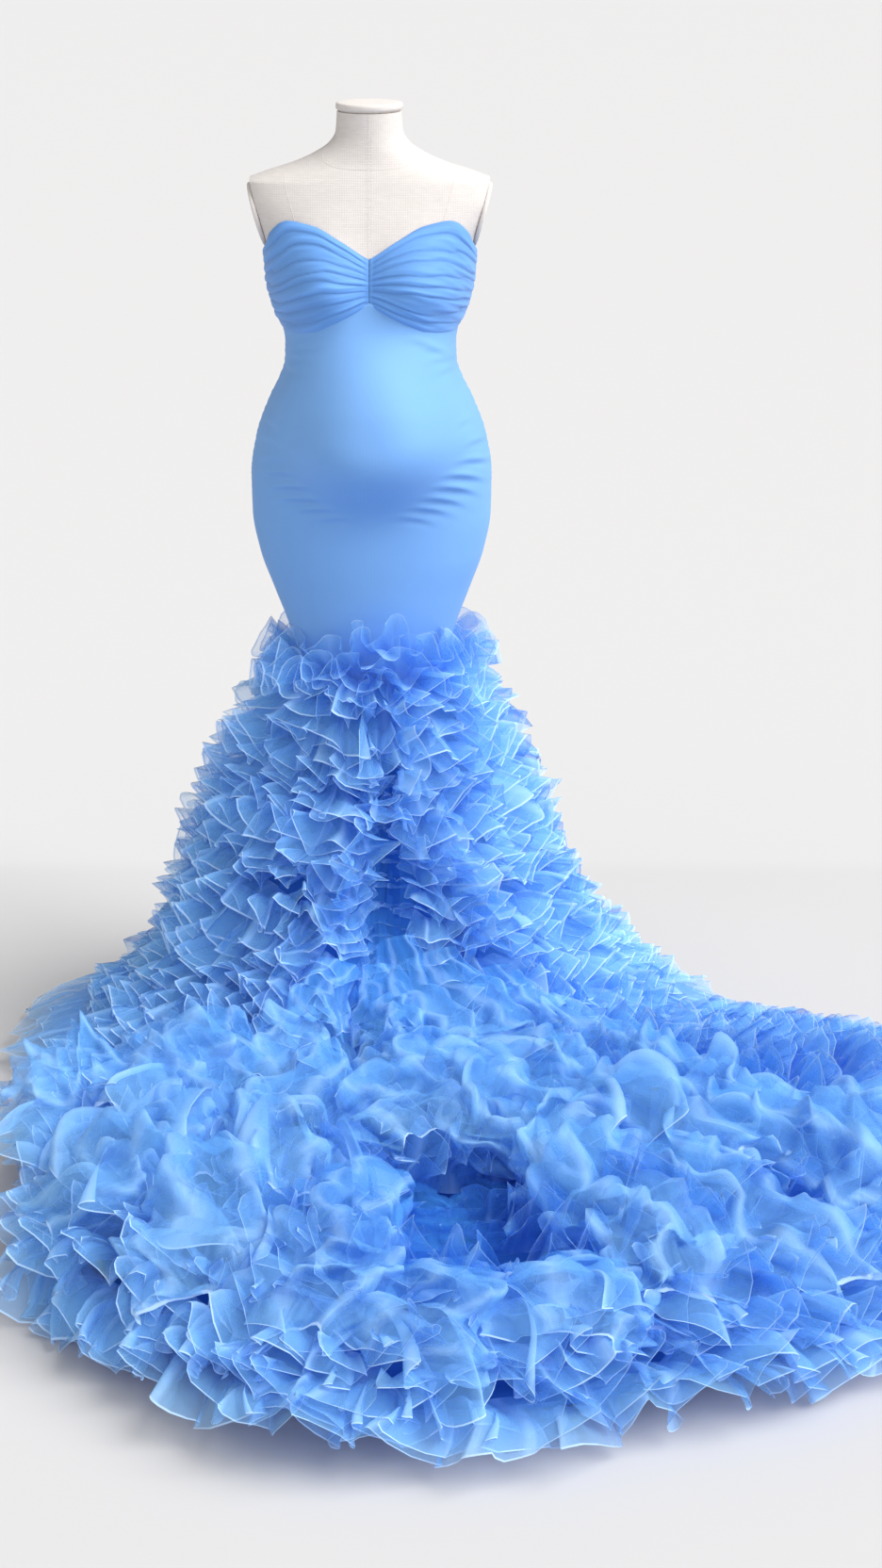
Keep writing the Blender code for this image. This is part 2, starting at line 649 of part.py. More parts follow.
def make_ruffles(collection, finish):
    """The heading and the rings round the cone, then the strips across the train."""
    for row in RING_ROWS:
        ring = dict(zip(RING_COLUMNS, row))
        columns = np.arange(SKIRT_COLUMNS, dtype=float)
        ruffle_wall(
            ring["name"], columns, ring["start"], ring["end"], ring["stand_out"], ring["wave"], collection,
            finish, wraps=True,
        )
    azimuths = skirt_azimuths()
    for row in ARC_ROWS:
        arc = dict(zip(ARC_COLUMNS, row))
        first = int(np.searchsorted(azimuths, arc["from_azimuth"]))
        last = int(np.searchsorted(azimuths, arc["to_azimuth"]))
        last -= (last - first) % 2
        columns = np.arange(2 * first, 2 * last + 1) / 2
        ruffle_wall(
            arc["name"], columns, arc["start"], arc["end"], arc["stand_out"], arc["wave"], collection, finish
        )


def make_hem_ruffle(collection, finish):
    """The last ruffle, all round the hem. It is narrower where the skirt has no train."""
    columns = np.arange(2 * SKIRT_COLUMNS) / 2
    azimuth = np.interp(columns, np.arange(SKIRT_COLUMNS + 1), np.append(skirt_azimuths(), 360.0))
    run = PLAN["hem"](azimuth) - PLAN["foot"](azimuth)
    width = np.minimum(HEM_SETBACK, 0.62 * run)
    train = smooth_step(222, 236, azimuth) * (1 - smooth_step(345, 357, azimuth))
    start = run_share(azimuth, width)
    start = start + (HEM_START - start) * train
    return ruffle_wall(
        "hem_ruffle", columns, start, 1.0, HEM_STAND_OUT * (0.4 + 0.6 * width / HEM_SETBACK),
        HEM_WAVE, collection, finish, wraps=True, returns=True, clear=EDGE_CLEARANCE + HEM_LIFT * 4 * train * (1 - train),
    )


def clear_scene():
    for obj in list(bpy.data.objects):
        bpy.data.objects.remove(obj, do_unlink=True)


def main():
    clear_scene()
    gown = bpy.data.collections.new("mermaid_maternity_gown")
    cutters = bpy.data.collections.new("cutters")
    bpy.context.scene.collection.children.link(gown)
    bpy.context.scene.collection.children.link(cutters)
    cutters.hide_render = True
    finishes = {name: material(name) for name in COLOURS}

    make_form(gown, cutters, finishes["form_cloth"])
    make_stand(gown, finishes["form_cloth"], finishes["stand_metal"])
    make_armhole_plate("armhole_plate_left", 1, gown, finishes["form_cloth"])
    make_armhole_plate("armhole_plate_right", -1, gown, finishes["form_cloth"])

    make_cup("cup_left", 1, gown, finishes["ruched_mesh"])
    make_cup("cup_right", -1, gown, finishes["ruched_mesh"])
    make_back_band(gown, finishes["ruched_mesh"])
    make_panel("front_panel", front_azimuths(), lambda a: CUP["bottom"](cup_along(a)), gown, finishes["jersey"])
    make_panel("back_panel", back_azimuths(), lambda a: back_edges(a)[0], gown, finishes["jersey"])
    make_underskirt(gown, finishes["tulle"])
    make_ruffles(gown, finishes["tulle"])
    make_hem_ruffle(gown, finishes["tulle"])


main()
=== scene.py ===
"""Strapless mermaid maternity gown with a ruffled tulle skirt and train, on a linen dress form.

Metres, in the part's own frame: +Z up, -Y the gown's front, +X its left side. Azimuths are degrees
round the Z axis: 0 left side, 90 back, 270 front.
"""

import math

import bmesh
import bpy
import numpy as np
from bpy.props import FloatProperty, FloatVectorProperty, IntProperty, PointerProperty
from mathutils import Matrix, Vector


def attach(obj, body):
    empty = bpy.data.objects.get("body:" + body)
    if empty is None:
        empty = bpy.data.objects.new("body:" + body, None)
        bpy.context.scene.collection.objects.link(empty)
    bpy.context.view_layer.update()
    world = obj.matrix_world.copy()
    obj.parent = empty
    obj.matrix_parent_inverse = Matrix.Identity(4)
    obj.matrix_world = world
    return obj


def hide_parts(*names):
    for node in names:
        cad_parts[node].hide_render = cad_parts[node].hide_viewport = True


bl_info = {
    "name": "Mermaid Maternity Gown",
    "version": (1, 0, 0),
    "blender": (4, 5, 0),
    "location": "View3D > Sidebar > Gown",
    "description": "Builds a ruched, ruffled mermaid gown on a dress form around its packed solids",
    "category": "Object",
}

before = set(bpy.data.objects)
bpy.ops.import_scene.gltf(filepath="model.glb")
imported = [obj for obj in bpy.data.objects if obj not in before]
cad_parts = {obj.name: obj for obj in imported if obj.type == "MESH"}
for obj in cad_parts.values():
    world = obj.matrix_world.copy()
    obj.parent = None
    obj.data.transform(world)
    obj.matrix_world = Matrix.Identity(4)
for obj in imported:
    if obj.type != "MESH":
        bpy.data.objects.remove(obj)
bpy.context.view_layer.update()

# Azimuths, in degrees
FRONT = 270.0
BACK = 90.0
QUARTER = 90.0

# Sizes shared with the solids
KNEE_HEIGHT = 0.655
FORM_BOTTOM = 0.800
NECK_TOP = 1.535
CAP_HEIGHT = 0.014
FORM_INSET = 0.0034  # the form under the outside of the gown
PLATE_CENTRE = (0.1715, 0.003, 1.377)
PLATE_HALF_HEIGHT = 0.051
PLATE_HALF_DEPTH = 0.052
PLATE_THICKNESS = 0.007
PLATE_TILT = math.radians(15.4)
FURROW_AZIMUTH = 275.0
FURROW_WIDTH = 10.0
FURROW_DEPTH = 0.060

# The scene's own cloth
PANEL_THICKNESS = 0.0010
SEAM_TUCK = 0.012  # the jersey's lower end, under the knee seam
RUCHING_TUCK = 0.006  # the jersey's upper end, under the ruching
HALF_PANEL = 89.95  # degrees from the middle of a jersey panel to its side seam
BODY_STEPS = (0.6, 0.002)  # degrees and metres between which the body's slope is measured
SKIRT_STEPS = (0.8, 0.005)  # degrees and shares between which the skirt's slope is measured
RUCHED_ROWS = 116
SEAM_RADIUS = 0.00055
PRINCESS_RADIUS = 0.0005
STITCH_RADIUS = 0.00035
STITCH_LENGTH = 0.0026
STITCH_ASIDE = 0.0035  # the stitches beside the centre seam
CLOTH_BOTTOM = 0.0015  # the lowest net over the floor
SKIRT_END = 0.955  # where the lined skirt ends, as a share of the way to the hem
ROUND_STEPS = np.linspace(0, 360, 721)  # azimuths of a seam all the way round
PLIES = 2
HEM_SETBACKS = (0.098, 0.130, 0.168, 0.212, 0.264)  # the first rows, up from the hem
# The valley and the hollow are left bare, so that the lining's dark blue, partly painted shade, shows in
# them.
VALLEY_WIDTH = 12  # degrees, the bare valley down the front of the cone
EYE_PLACE = (275.5, 0.755)  # azimuth and share of the dark hollow in the heap
EYE_WIDTHS = (6.5, 0.050)
NET_COVER = 0.29  # how much of the light a flat ply of net stops
LOOSE_COVER = 0.26
LOOSE_DEPTH = 0.26
FLUTED_FROM = 30  # points in a loop from which a wide, open loop gets flutes
NORMAL_SOFTNESS = 1.1  # how far the net's shading is turned to the way out
JERSEY_BLOOM = "#cfe3ff"
TULLE_BLOOM = "#d6e7ff"

# Stage
FLOOR_HALF = 60.0
SKY_COLOUR = "#f6f6f5"
SKY_STRENGTH = 0.42
LAMP_COLUMNS = ("name", "energy", "spread", "turn")
LAMP_ROWS = (
    ("key_window", 4.3, 50.0, (43, 0, 74)),
    ("fill_window", 0.90, 80.0, (66, 0, -8)),
)
CAMERA_PLACE = (0.111, -5.13, 2.09)
CAMERA_DIP = 17.82
LENS = 75.0
SENSOR = 36.0

# Outside of the gown, and of the bare form above it, by height
BODY_COLUMNS = ("height", "half_width", "front", "back", "squareness")
BODY_ROWS = (
    (0.600, 0.114, 0.108, 0.091, 2.00),
    (0.655, 0.119, 0.110, 0.093, 2.00),
    (0.717, 0.135, 0.116, 0.099, 2.10),
    (0.780, 0.158, 0.122, 0.108, 2.15),
    (0.843, 0.180, 0.128, 0.122, 2.20),
    (0.905, 0.191, 0.131, 0.131, 2.20),
    (0.967, 0.192, 0.132, 0.128, 2.20),
    (1.028, 0.183, 0.129, 0.114, 2.20),
    (1.089, 0.161, 0.122, 0.098, 2.20),
    (1.119, 0.146, 0.117, 0.092, 2.20),
    (1.149, 0.136, 0.112, 0.089, 2.20),
    (1.179, 0.135, 0.108, 0.089, 2.20),
    (1.209, 0.140, 0.106, 0.091, 2.20),
    (1.239, 0.151, 0.108, 0.094, 2.20),
    (1.269, 0.159, 0.110, 0.096, 2.25),
    (1.298, 0.162, 0.110, 0.097, 2.30),
    (1.335, 0.168, 0.105, 0.098, 2.40),
    (1.372, 0.186, 0.095, 0.095, 2.50),
    (1.405, 0.197, 0.082, 0.089, 2.60),
    (1.430, 0.198, 0.072, 0.082, 2.50),
    (1.445, 0.166, 0.066, 0.076, 2.30),
    (1.460, 0.120, 0.060, 0.071, 2.10),
    (1.475, 0.087, 0.057, 0.067, 2.00),
    (1.490, 0.065, 0.055, 0.063, 2.00),
    (1.505, 0.056, 0.054, 0.059, 2.00),
    (1.535, 0.0535, 0.0535, 0.0565, 2.00),
)
BULGE_COLUMNS = ("x", "height", "out", "half_width", "above", "below", "firmness")
BULGE_ROWS = (
    (0.000, 1.054, 0.098, 0.140, 0.156, 0.102, 1.55),
    (0.078, 1.278, 0.040, 0.060, 0.062, 0.052, 1.10),
    (-0.078, 1.278, 0.040, 0.060, 0.062, 0.052, 1.10),
)
CUP_COLUMNS = ("along", "top", "bottom")
CUP_ROWS = (
    (0.00, 1.323, 1.252),
    (0.12, 1.350, 1.236),
    (0.25, 1.371, 1.222),
    (0.40, 1.377, 1.209),
    (0.62, 1.358, 1.203),
    (0.80, 1.338, 1.202),
    (1.00, 1.322, 1.205),
)
BACK_TOP = 1.300
BACK_BOTTOM = 1.202

# Underskirt: profile from the knee seam (0) to the hem (1), and plan by azimuth
PROFILE_COLUMNS = ("share", "cone", "run", "height", "heap", "furrow")
PROFILE_ROWS = (
    (0.000, 0.00, 0.00, 0.655, 0.00, 0.0),
    (0.030, 0.04, 0.00, 0.626, 0.00, 0.0),
    (0.080, 0.10, 0.00, 0.580, 0.00, 0.0),
    (0.160, 0.21, 0.00, 0.500, 0.00, 0.6),
    (0.250, 0.36, 0.00, 0.392, 0.00, 1.0),
    (0.340, 0.54, 0.00, 0.282, 0.00, 1.0),
    (0.430, 0.77, 0.00, 0.172, 0.00, 0.6),
    (0.500, 1.00, 0.03, 0.108, 0.20, 0.2),
    (0.560, 1.00, 0.14, 0.082, 0.60, 0.0),
    (0.640, 1.00, 0.29, 0.068, 0.90, 0.0),
    (0.760, 1.00, 0.52, 0.056, 1.00, 0.0),
    (0.880, 1.00, 0.76, 0.042, 0.80, 0.0),
    (0.960, 1.00, 0.92, 0.020, 0.30, 0.0),
    (0.992, 1.00, 0.985, 0.004, 0.00, 0.0),
    (1.000, 1.00, 1.00, 0.003, 0.00, 0.0),
)
PLAN_COLUMNS = ("azimuth", "foot", "hem", "heap")
PLAN_ROWS = (
    (0, 0.430, 0.630, 0.008),
    (15, 0.420, 0.560, 0.004),
    (30, 0.410, 0.520, 0.000),
    (60, 0.380, 0.490, 0.000),
    (90, 0.370, 0.470, 0.000),
    (120, 0.375, 0.470, 0.000),
    (150, 0.390, 0.500, 0.000),
    (180, 0.410, 0.560, 0.000),
    (205, 0.430, 0.650, 0.010),
    (225, 0.450, 0.790, 0.020),
    (240, 0.470, 0.980, 0.035),
    (250, 0.480, 1.180, 0.045),
    (260, 0.490, 1.350, 0.050),
    (270, 0.490, 1.490, 0.050),
    (280, 0.490, 1.500, 0.050),
    (290, 0.490, 1.460, 0.050),
    (300, 0.480, 1.450, 0.050),
    (310, 0.470, 1.420, 0.050),
    (320, 0.460, 1.400, 0.050),
    (330, 0.450, 1.290, 0.042),
    (340, 0.440, 1.040, 0.030),
    (350, 0.440, 0.780, 0.015),
)

# Drag lines pulled across the jersey under the bump and at the sides: place, length, slope, depth
DRAG_COLUMNS = ("x", "height", "length", "slope", "depth")
DRAG_ROWS = (
    (-0.152, 1.012, 0.050, 0.20, 0.0026),
    (-0.145, 0.990, 0.056, 0.24, 0.0034),
    (-0.128, 0.970, 0.062, 0.22, 0.0038),
    (-0.110, 0.952, 0.068, 0.14, 0.0038),
    (-0.086, 0.936, 0.066, 0.12, 0.0032),
    (-0.058, 0.922, 0.060, 0.12, 0.0022),
    (-0.158, 1.040, 0.040, 0.10, 0.0016),
    (-0.155, 1.066, 0.034, 0.04, 0.0012),
    (0.166, 1.005, 0.052, -0.34, 0.0030),
    (0.148, 0.984, 0.058, -0.36, 0.0038),
    (0.134, 0.966, 0.060, -0.36, 0.0040),
    (0.114, 0.950, 0.060, -0.32, 0.0036),
    (0.092, 0.936, 0.060, -0.26, 0.0030),
    (0.068, 0.922, 0.056, -0.20, 0.0022),
    (0.168, 1.034, 0.036, -0.20, 0.0016),
    (0.150, 1.070, 0.030, -0.10, 0.0010),
    (-0.100, 1.190, 0.045, 0.30, 0.0018),
    (-0.112, 1.172, 0.040, 0.16, 0.0016),
    (-0.118, 1.152, 0.034, 0.02, 0.0012),
    (0.084, 1.196, 0.050, -0.42, 0.0020),
    (0.100, 1.184, 0.048, -0.36, 0.0020),
    (0.112, 1.168, 0.040, -0.22, 0.0016),
    (0.118, 1.150, 0.034, -0.06, 0.0012),
)


def linear(hex_colour):
    """Scene-linear RGB from an sRGB hex value."""
    text = hex_colour.lstrip("#")
    made = []
    for i in (0, 2, 4):
        value = int(text[i : i + 2], 16) / 255
        made.append(value / 12.92 if value <= 0.04045 else ((value + 0.055) / 1.055) ** 2.4)
    return tuple(made)


def measure(name, description, default):
    return FloatProperty(name=name, description=description, default=default, unit="LENGTH")


def swatch(name, description, hex_colour):
    default = linear(hex_colour)
    return FloatVectorProperty(name=name, description=description, subtype="COLOR", default=default)


class GownSizes(bpy.types.PropertyGroup):
    ruffle_depth: measure("Ruffle depth", "Cut depth of a ruffle on the cone", 0.088)
    ruffle_loop: measure("Loop length", "Seam length taken by one loop of a cone ruffle", 0.052)
    ruffle_spacing: measure("Row spacing", "Distance between rows of ruffles on the cone", 0.042)
    train_depth: measure("Train ruffle depth", "Cut depth of a ruffle on the train", 0.125)
    train_loop: measure("Train loop length", "Seam length of one loop on the train", 0.070)
    train_spacing: measure("Train row spacing", "Distance between rows on the train", 0.070)
    edge_width: measure("Rolled edge", "Width of the doubled edge of the tulle", 0.0019)
    ruching_height: measure("Ruching height", "Height of the bust's folds", 0.0046)
    ruching_folds: IntProperty(
        name="Ruching folds", description="Folds in one half of the bust", default=9, min=3
    )
    stitch_pitch: measure("Stitch pitch", "Distance between the form's seam stitches", 0.005)


class GownColours(bpy.types.PropertyGroup):
    jersey: swatch("Jersey", "Light blue stretch jersey", "#77a8e2")
    mesh: swatch("Ruched mesh", "Sheer mesh over the bust", "#669bdf")
    tulle: swatch("Tulle", "Light blue nylon tulle", "#86c6fe")
    # Darker tone near the seams, where the net is gathered tight, and also painted shade where rows cover one
    # another, down the valley and in the hollow.
    tulle_gathers_and_shade: swatch("Gathered tulle", "Tulle where it is gathered tight", "#50a4f7")
    # Deep blue of the lined net, darkened further as painted shade for the gaps between ruffles, the valley
    # and the hollow.
    lining: swatch("Lining", "Lined tulle under the ruffles", "#2c6cc4")
    # Paler doubled net at the rolled edges and along the crests of folds, partly painted highlight.
    tulle_edge: swatch("Tulle edge", "Where the net is doubled", "#b9dbff")
    linen: swatch("Linen", "Unbleached linen of the form", "#d4ceca")
    steel: swatch("Steel", "Satin steel of the stand", "#b9babd")
    floor: swatch("Floor", "Pale matt floor", "#c6c5c5")


# Curves and surfaces


def curve_through(keys, values):
    """A smooth curve through the points, without overshoot."""
    keys = np.asarray(keys, float)
    values = np.asarray(values, float)
    slopes = np.diff(values) / np.diff(keys)
    ends = np.concatenate([[slopes[0]], slopes, [slopes[-1]]])
    before, after = ends[:-1], ends[1:]
    same_way = before * after > 0
    total = np.where(same_way, before + after, 1.0)
    tangents = np.where(same_way, 2 * before * after / total, 0.0)

    def at(key):
        key = np.clip(key, keys[0], keys[-1])
        i = np.clip(np.searchsorted(keys, key) - 1, 0, len(keys) - 2)
        step = keys[i + 1] - keys[i]
        t = (key - keys[i]) / step
        return (
            (1 + 2 * t) * (1 - t) ** 2 * values[i]
            + t * (1 - t) ** 2 * step * tangents[i]
            + t * t * (3 - 2 * t) * values[i + 1]
            - t * t * (1 - t) * step * tangents[i + 1]
        )

    return at


def column_curves(rows, columns):
    table = np.array(rows, float)
    return {name: curve_through(table[:, 0], table[:, i]) for i, name in enumerate(columns) if i}


def round_curves(rows, columns):
    """column_curves by azimuth, joined up all the way round."""
    table = np.array(rows, float)
    before, after = table[-3:].copy(), table[:3].copy()
    before[:, 0] -= 360
    after[:, 0] += 360
    around = column_curves(np.vstack([before, table, after]), columns)
    return {
        name: (lambda azimuth, curve=curve: curve(np.mod(azimuth, 360.0))) for name, curve in around.items()
    }


BODY = column_curves(BODY_ROWS, BODY_COLUMNS)
CUP = column_curves(CUP_ROWS, CUP_COLUMNS)
PROFILE = column_curves(PROFILE_ROWS, PROFILE_COLUMNS)
PLAN = round_curves(PLAN_ROWS, PLAN_COLUMNS)


def smooth_step(low, high, value):
    t = np.clip((value - low) / (high - low), 0.0, 1.0)
    return t * t * (3 - 2 * t)


def hill(value, middle, width, power=2):
    """1 at the middle, falling away to 0 on both sides: the higher the power, the flatter its top."""
    return np.exp(-(((value - middle) / width) ** power))


def eased_above(value, softness):
    """The value where it is well over 0, bending softly to 0 below."""
    return 0.5 * (value + np.sqrt(value**2 + softness**2))


def tapered(t, least, power=0.4):
    """Fullness along a strip: whole in the middle, down to the least at both ends."""
    return least + (1 - least) * np.sin(math.pi * t) ** power


def wander(seed, at, cycle, octaves=3):
    """Smooth noise between about -1 and 1 along a line, the same on each run."""
    dice = np.random.default_rng(seed)
    total = np.zeros_like(np.asarray(at, float))
    for octave in range(octaves):
        for _ in range(3):
            rate = 2 * math.pi * (2**octave) * dice.uniform(0.7, 1.4) / cycle
            total = total + np.sin(at * rate + dice.uniform(0, 2 * math.pi)) / (3 * 1.6**octave)
    return total


def normals_of(point_at, u, v, step_u, step_v):
    du = point_at(u + step_u, v) - point_at(u - step_u, v)
    dv = point_at(u, v + step_v) - point_at(u, v - step_v)
    normals = np.cross(du, dv)
    return normals / np.maximum(np.linalg.norm(normals, axis=-1, keepdims=True), 1e-12)


def body_surface(azimuth, height):
    """Points on the outside of the fitted gown, or of the bare form above it."""
    angle = np.radians(azimuth)
    c, s = np.cos(angle), np.sin(angle)
    power = 2 / BODY["squareness"](height)
    depth = np.where(s > 0, BODY["back"](height), BODY["front"](height))
    x = BODY["half_width"](height) * np.sign(c) * np.abs(c) ** power
    y = depth * np.sign(s) * np.abs(s) ** power
    for row in BULGE_ROWS:
        bulge = dict(zip(BULGE_COLUMNS, row))
        rise = np.where(height > bulge["height"], bulge["above"], bulge["below"])
        away = ((x - bulge["x"]) / bulge["half_width"]) ** 2 + ((height - bulge["height"]) / rise) ** 2
        y = y - bulge["out"] * np.exp(-(away ** bulge["firmness"])) * smooth_step(0.0, 0.55, -s)
    return np.stack([x, y, height + 0 * x], axis=-1)


def body_points(azimuth, height, out):
    azimuth, height = np.broadcast_arrays(azimuth, height)
    normals = normals_of(body_surface, azimuth, height, *BODY_STEPS)
    return body_surface(azimuth, height) + normals * np.asarray(out)[..., None]


def azimuth_at(x, height):
    """Azimuth on the front whose point lies that far to the side."""
    share = np.clip(np.abs(x) / BODY["half_width"](height), 0, 1) ** (BODY["squareness"](height) / 2)
    turn = np.degrees(np.arcsin(share))
    return FRONT + np.sign(x) * turn


def skirt_surface(azimuth, share):
    """Points on the outside of the underskirt."""
    angle = np.radians(azimuth)
    c, s = np.cos(angle), np.sin(angle)
    knee_depth = np.where(s > 0, BODY["back"](KNEE_HEIGHT), BODY["front"](KNEE_HEIGHT))
    knee = 1 / np.sqrt((c / BODY["half_width"](KNEE_HEIGHT)) ** 2 + (s / knee_depth) ** 2)
    foot, hem = PLAN["foot"](azimuth), PLAN["hem"](azimuth)
    radius = knee + PROFILE["cone"](share) * (foot - knee) + PROFILE["run"](share) * (hem - foot)
    furrow = hill(np.mod(azimuth, 360.0), FURROW_AZIMUTH, FURROW_WIDTH)
    radius = radius - FURROW_DEPTH * PROFILE["furrow"](share) * furrow
    height = PROFILE["height"](share) + PROFILE["heap"](share) * PLAN["heap"](azimuth)
    return np.stack([radius * c, radius * s, height + 0 * radius], axis=-1)


def skirt_normals(azimuth, share):
    inside = np.clip(share, 0.006, 0.994)
    normals = normals_of(skirt_surface, azimuth, inside, *SKIRT_STEPS)
    angle = np.radians(azimuth)
    outward = normals[..., 0] * np.cos(angle) + normals[..., 1] * np.sin(angle) + normals[..., 2]
    return normals * np.where(outward < 0, -1.0, 1.0)[..., None]


# Meshes and materials


def unit(vectors):
    return vectors / np.maximum(np.linalg.norm(vectors, axis=-1, keepdims=True), 1e-12)


def link(obj):
    bpy.context.scene.collection.objects.link(obj)
    return obj


def mesh_object(name, points, faces, uvs, finish, attributes=()):
    """A smooth-shaded mesh with a UV for each vertex and named float attributes."""
    points = np.asarray(points, np.float32)
    faces = np.asarray(faces, np.int32)
    mesh = bpy.data.meshes.new(name)
    mesh.vertices.add(len(points))
    mesh.vertices.foreach_set("co", points.ravel())
    mesh.loops.add(faces.size)
    mesh.loops.foreach_set("vertex_index", faces.ravel())
    mesh.polygons.add(len(faces))
    mesh.polygons.foreach_set("loop_start", np.arange(0, faces.size, faces.shape[1], dtype=np.int32))
    mesh.update(calc_edges=True)
    layer = mesh.uv_layers.new(name="cloth")
    layer.data.foreach_set("uv", np.asarray(uvs, np.float32)[faces.ravel()].ravel())
    for attribute_name, values in attributes:
        made = mesh.attributes.new(attribute_name, "FLOAT", "POINT")
        made.data.foreach_set("value", np.asarray(values, np.float32).ravel())
    mesh.validate()
    mesh.shade_smooth()
    obj = bpy.data.objects.new(name, mesh)
    obj.data.materials.append(finish)
    return link(obj)


def grid_faces(rows, columns, wraps=False, offset=0, flip=False):
    """Quads of a grid whose rows by columns points come one row after another."""
    steps = columns if wraps else columns - 1
    row, column = np.meshgrid(np.arange(rows - 1), np.arange(steps), indexing="ij")
    a = row * columns + column
    b = row * columns + (column + 1) % columns
    quads = np.stack([a, b, b + columns, a + columns], axis=-1).reshape(-1, 4) + offset
    return quads[:, ::-1] if flip else quads


def shell(name, outer, inner, uvs, finish, wraps=False, attributes=()):
    """A thin closed wall between two grids of points, facing out of the outer one."""
    rows, columns = outer.shape[:2]
    count = rows * columns
    points = np.concatenate([outer.reshape(-1, 3), inner.reshape(-1, 3)])
    quads = [grid_faces(rows, columns, wraps), grid_faces(rows, columns, wraps, count, True)]
    steps = columns if wraps else columns - 1
    first = np.arange(steps)
    after = (first + 1) % columns
    last = (rows - 1) * columns
    quads.append(np.stack([after, first, count + first, count + after], axis=-1))
    quads.append(np.stack([last + first, last + after, count + last + after, count + last + first], axis=-1))
    if not wraps:
        down = np.arange(rows - 1) * columns
        quads.append(np.stack([down, down + columns, count + down + columns, count + down], axis=-1))
        down = down + columns - 1
        quads.append(np.stack([down + columns, down, count + down, count + down + columns], axis=-1))
    both = np.concatenate([uvs.reshape(-1, 2), uvs.reshape(-1, 2)])
    doubled = [(key, np.concatenate([values.ravel(), values.ravel()])) for key, values in attributes]
    obj = mesh_object(name, points, np.concatenate(quads), both, finish, doubled)
    if signed_volume(obj.data) < 0:
        obj.data.flip_normals()
    return obj


def corner_arrays(mesh):
    mesh.calc_loop_triangles()
    places = np.empty(len(mesh.vertices) * 3, np.float32)
    mesh.vertices.foreach_get("co", places)
    corners = np.empty(len(mesh.loop_triangles) * 3, np.int32)
    mesh.loop_triangles.foreach_get("vertices", corners)
    return places.reshape(-1, 3).astype(float)[corners.reshape(-1, 3)]


def signed_volume(mesh):
    a, b, c = corner_arrays(mesh).transpose(1, 0, 2)
    return float((a * np.cross(b, c)).sum() / 6)


def cloth_area(obj, layers):
    a, b, c = corner_arrays(obj.data).transpose(1, 0, 2)
    return float(np.linalg.norm(np.cross(b - a, c - a), axis=1).sum() / 2 / layers)


def object_from(bm, name, finish, sharp_from=None):
    """A smooth-shaded object of the bmesh, which it frees. Edges over sharp_from degrees stay hard."""
    mesh = bpy.data.meshes.new(name)
    bm.to_mesh(mesh)
    bm.free()
    mesh.shade_smooth()
    if sharp_from is not None:
        mesh.set_sharp_from_angle(angle=math.radians(sharp_from))
    obj = link(bpy.data.objects.new(name, mesh))
    obj.data.materials.append(finish)
    return obj


def tube_along(name, points, radius, finish, sides=6, closed=False):
    """A fine round cord or seam through the points, closed at its ends."""
    points = np.asarray(points, float)
    ahead = np.roll(points, -1, 0) - np.roll(points, 1, 0) if closed else np.gradient(points, axis=0)
    tangent = unit(ahead)
    guide = np.where(np.abs(tangent[:, 2:]) > 0.9, [[1.0, 0, 0]], [[0, 0, 1.0]])
    side = unit(np.cross(tangent, guide))
    up = np.cross(side, tangent)
    angle = np.linspace(0, 2 * math.pi, sides, endpoint=False)
    ring = side[:, None] * np.cos(angle)[None, :, None] + up[:, None] * np.sin(angle)[None, :, None]
    rings = points[:, None] + radius * ring
    bm = bmesh.new()
    made = [[bm.verts.new(p) for p in ring_points] for ring_points in rings]
    pairs = list(zip(made, made[1:]))
    if closed:
        pairs.append((made[-1], made[0]))
    for one, two in pairs:
        for i in range(sides):
            j = (i + 1) % sides
            bm.faces.new((one[i], one[j], two[j], two[i]))
    if not closed:
        bm.faces.new(made[0])
        bm.faces.new(made[-1])
    bmesh.ops.recalc_face_normals(bm, faces=bm.faces)
    return object_from(bm, name, finish)


NOISE = "ShaderNodeTexNoise"
WAVE = "ShaderNodeTexWave"
MAPPING = "ShaderNodeMapping"
RANGE = "ShaderNodeMapRange"
MATH = "ShaderNodeMath"
BUMP = "ShaderNodeBump"
MIX = "ShaderNodeMix"
ATTRIBUTE = "ShaderNodeAttribute"
SEPARATE = "ShaderNodeSeparateXYZ"
MULTIPLY_ADD = {"operation": "MULTIPLY_ADD"}


def fill(tree, node, inputs):
    """Sets a node's inputs by name, to values or to links from sockets."""
    for key, value in inputs.items():
        if isinstance(value, bpy.types.NodeSocket):
            tree.links.new(value, node.inputs[key])
        else:
            node.inputs[key].default_value = value


def add(tree, kind, settings=None, inputs=None):
    """Adds a node, with its settings by name and its inputs as fill takes them."""
    made = tree.nodes.new(kind)
    for key, value in (settings or {}).items():
        setattr(made, key, value)
    fill(tree, made, inputs or {})
    return made


def new_material(name):
    """A material with its output, a Principled shader joined to it, and the outputs of its coordinates."""
    made = bpy.data.materials.new(name)
    made.use_nodes = True
    tree = made.node_tree
    tree.nodes.clear()
    shader = tree.nodes.new("ShaderNodeBsdfPrincipled")
    output = tree.nodes.new("ShaderNodeOutputMaterial")
    tree.links.new(shader.outputs["BSDF"], output.inputs["Surface"])
    return made, tree, shader, tree.nodes.new("ShaderNodeTexCoord").outputs


def shaded(colour, factor=1.0):
    """The colour, darker or lighter by the factor, with its alpha."""
    return (*(min(1.0, channel * factor) for channel in colour), 1.0)


def tint(tree, factor, low, high):
    """Mixes two colours, each a value or a socket, by a socket."""
    inputs = {"Factor": factor, 6: low, 7: high}
    return add(tree, MIX, {"data_type": "RGBA"}, inputs).outputs[2]


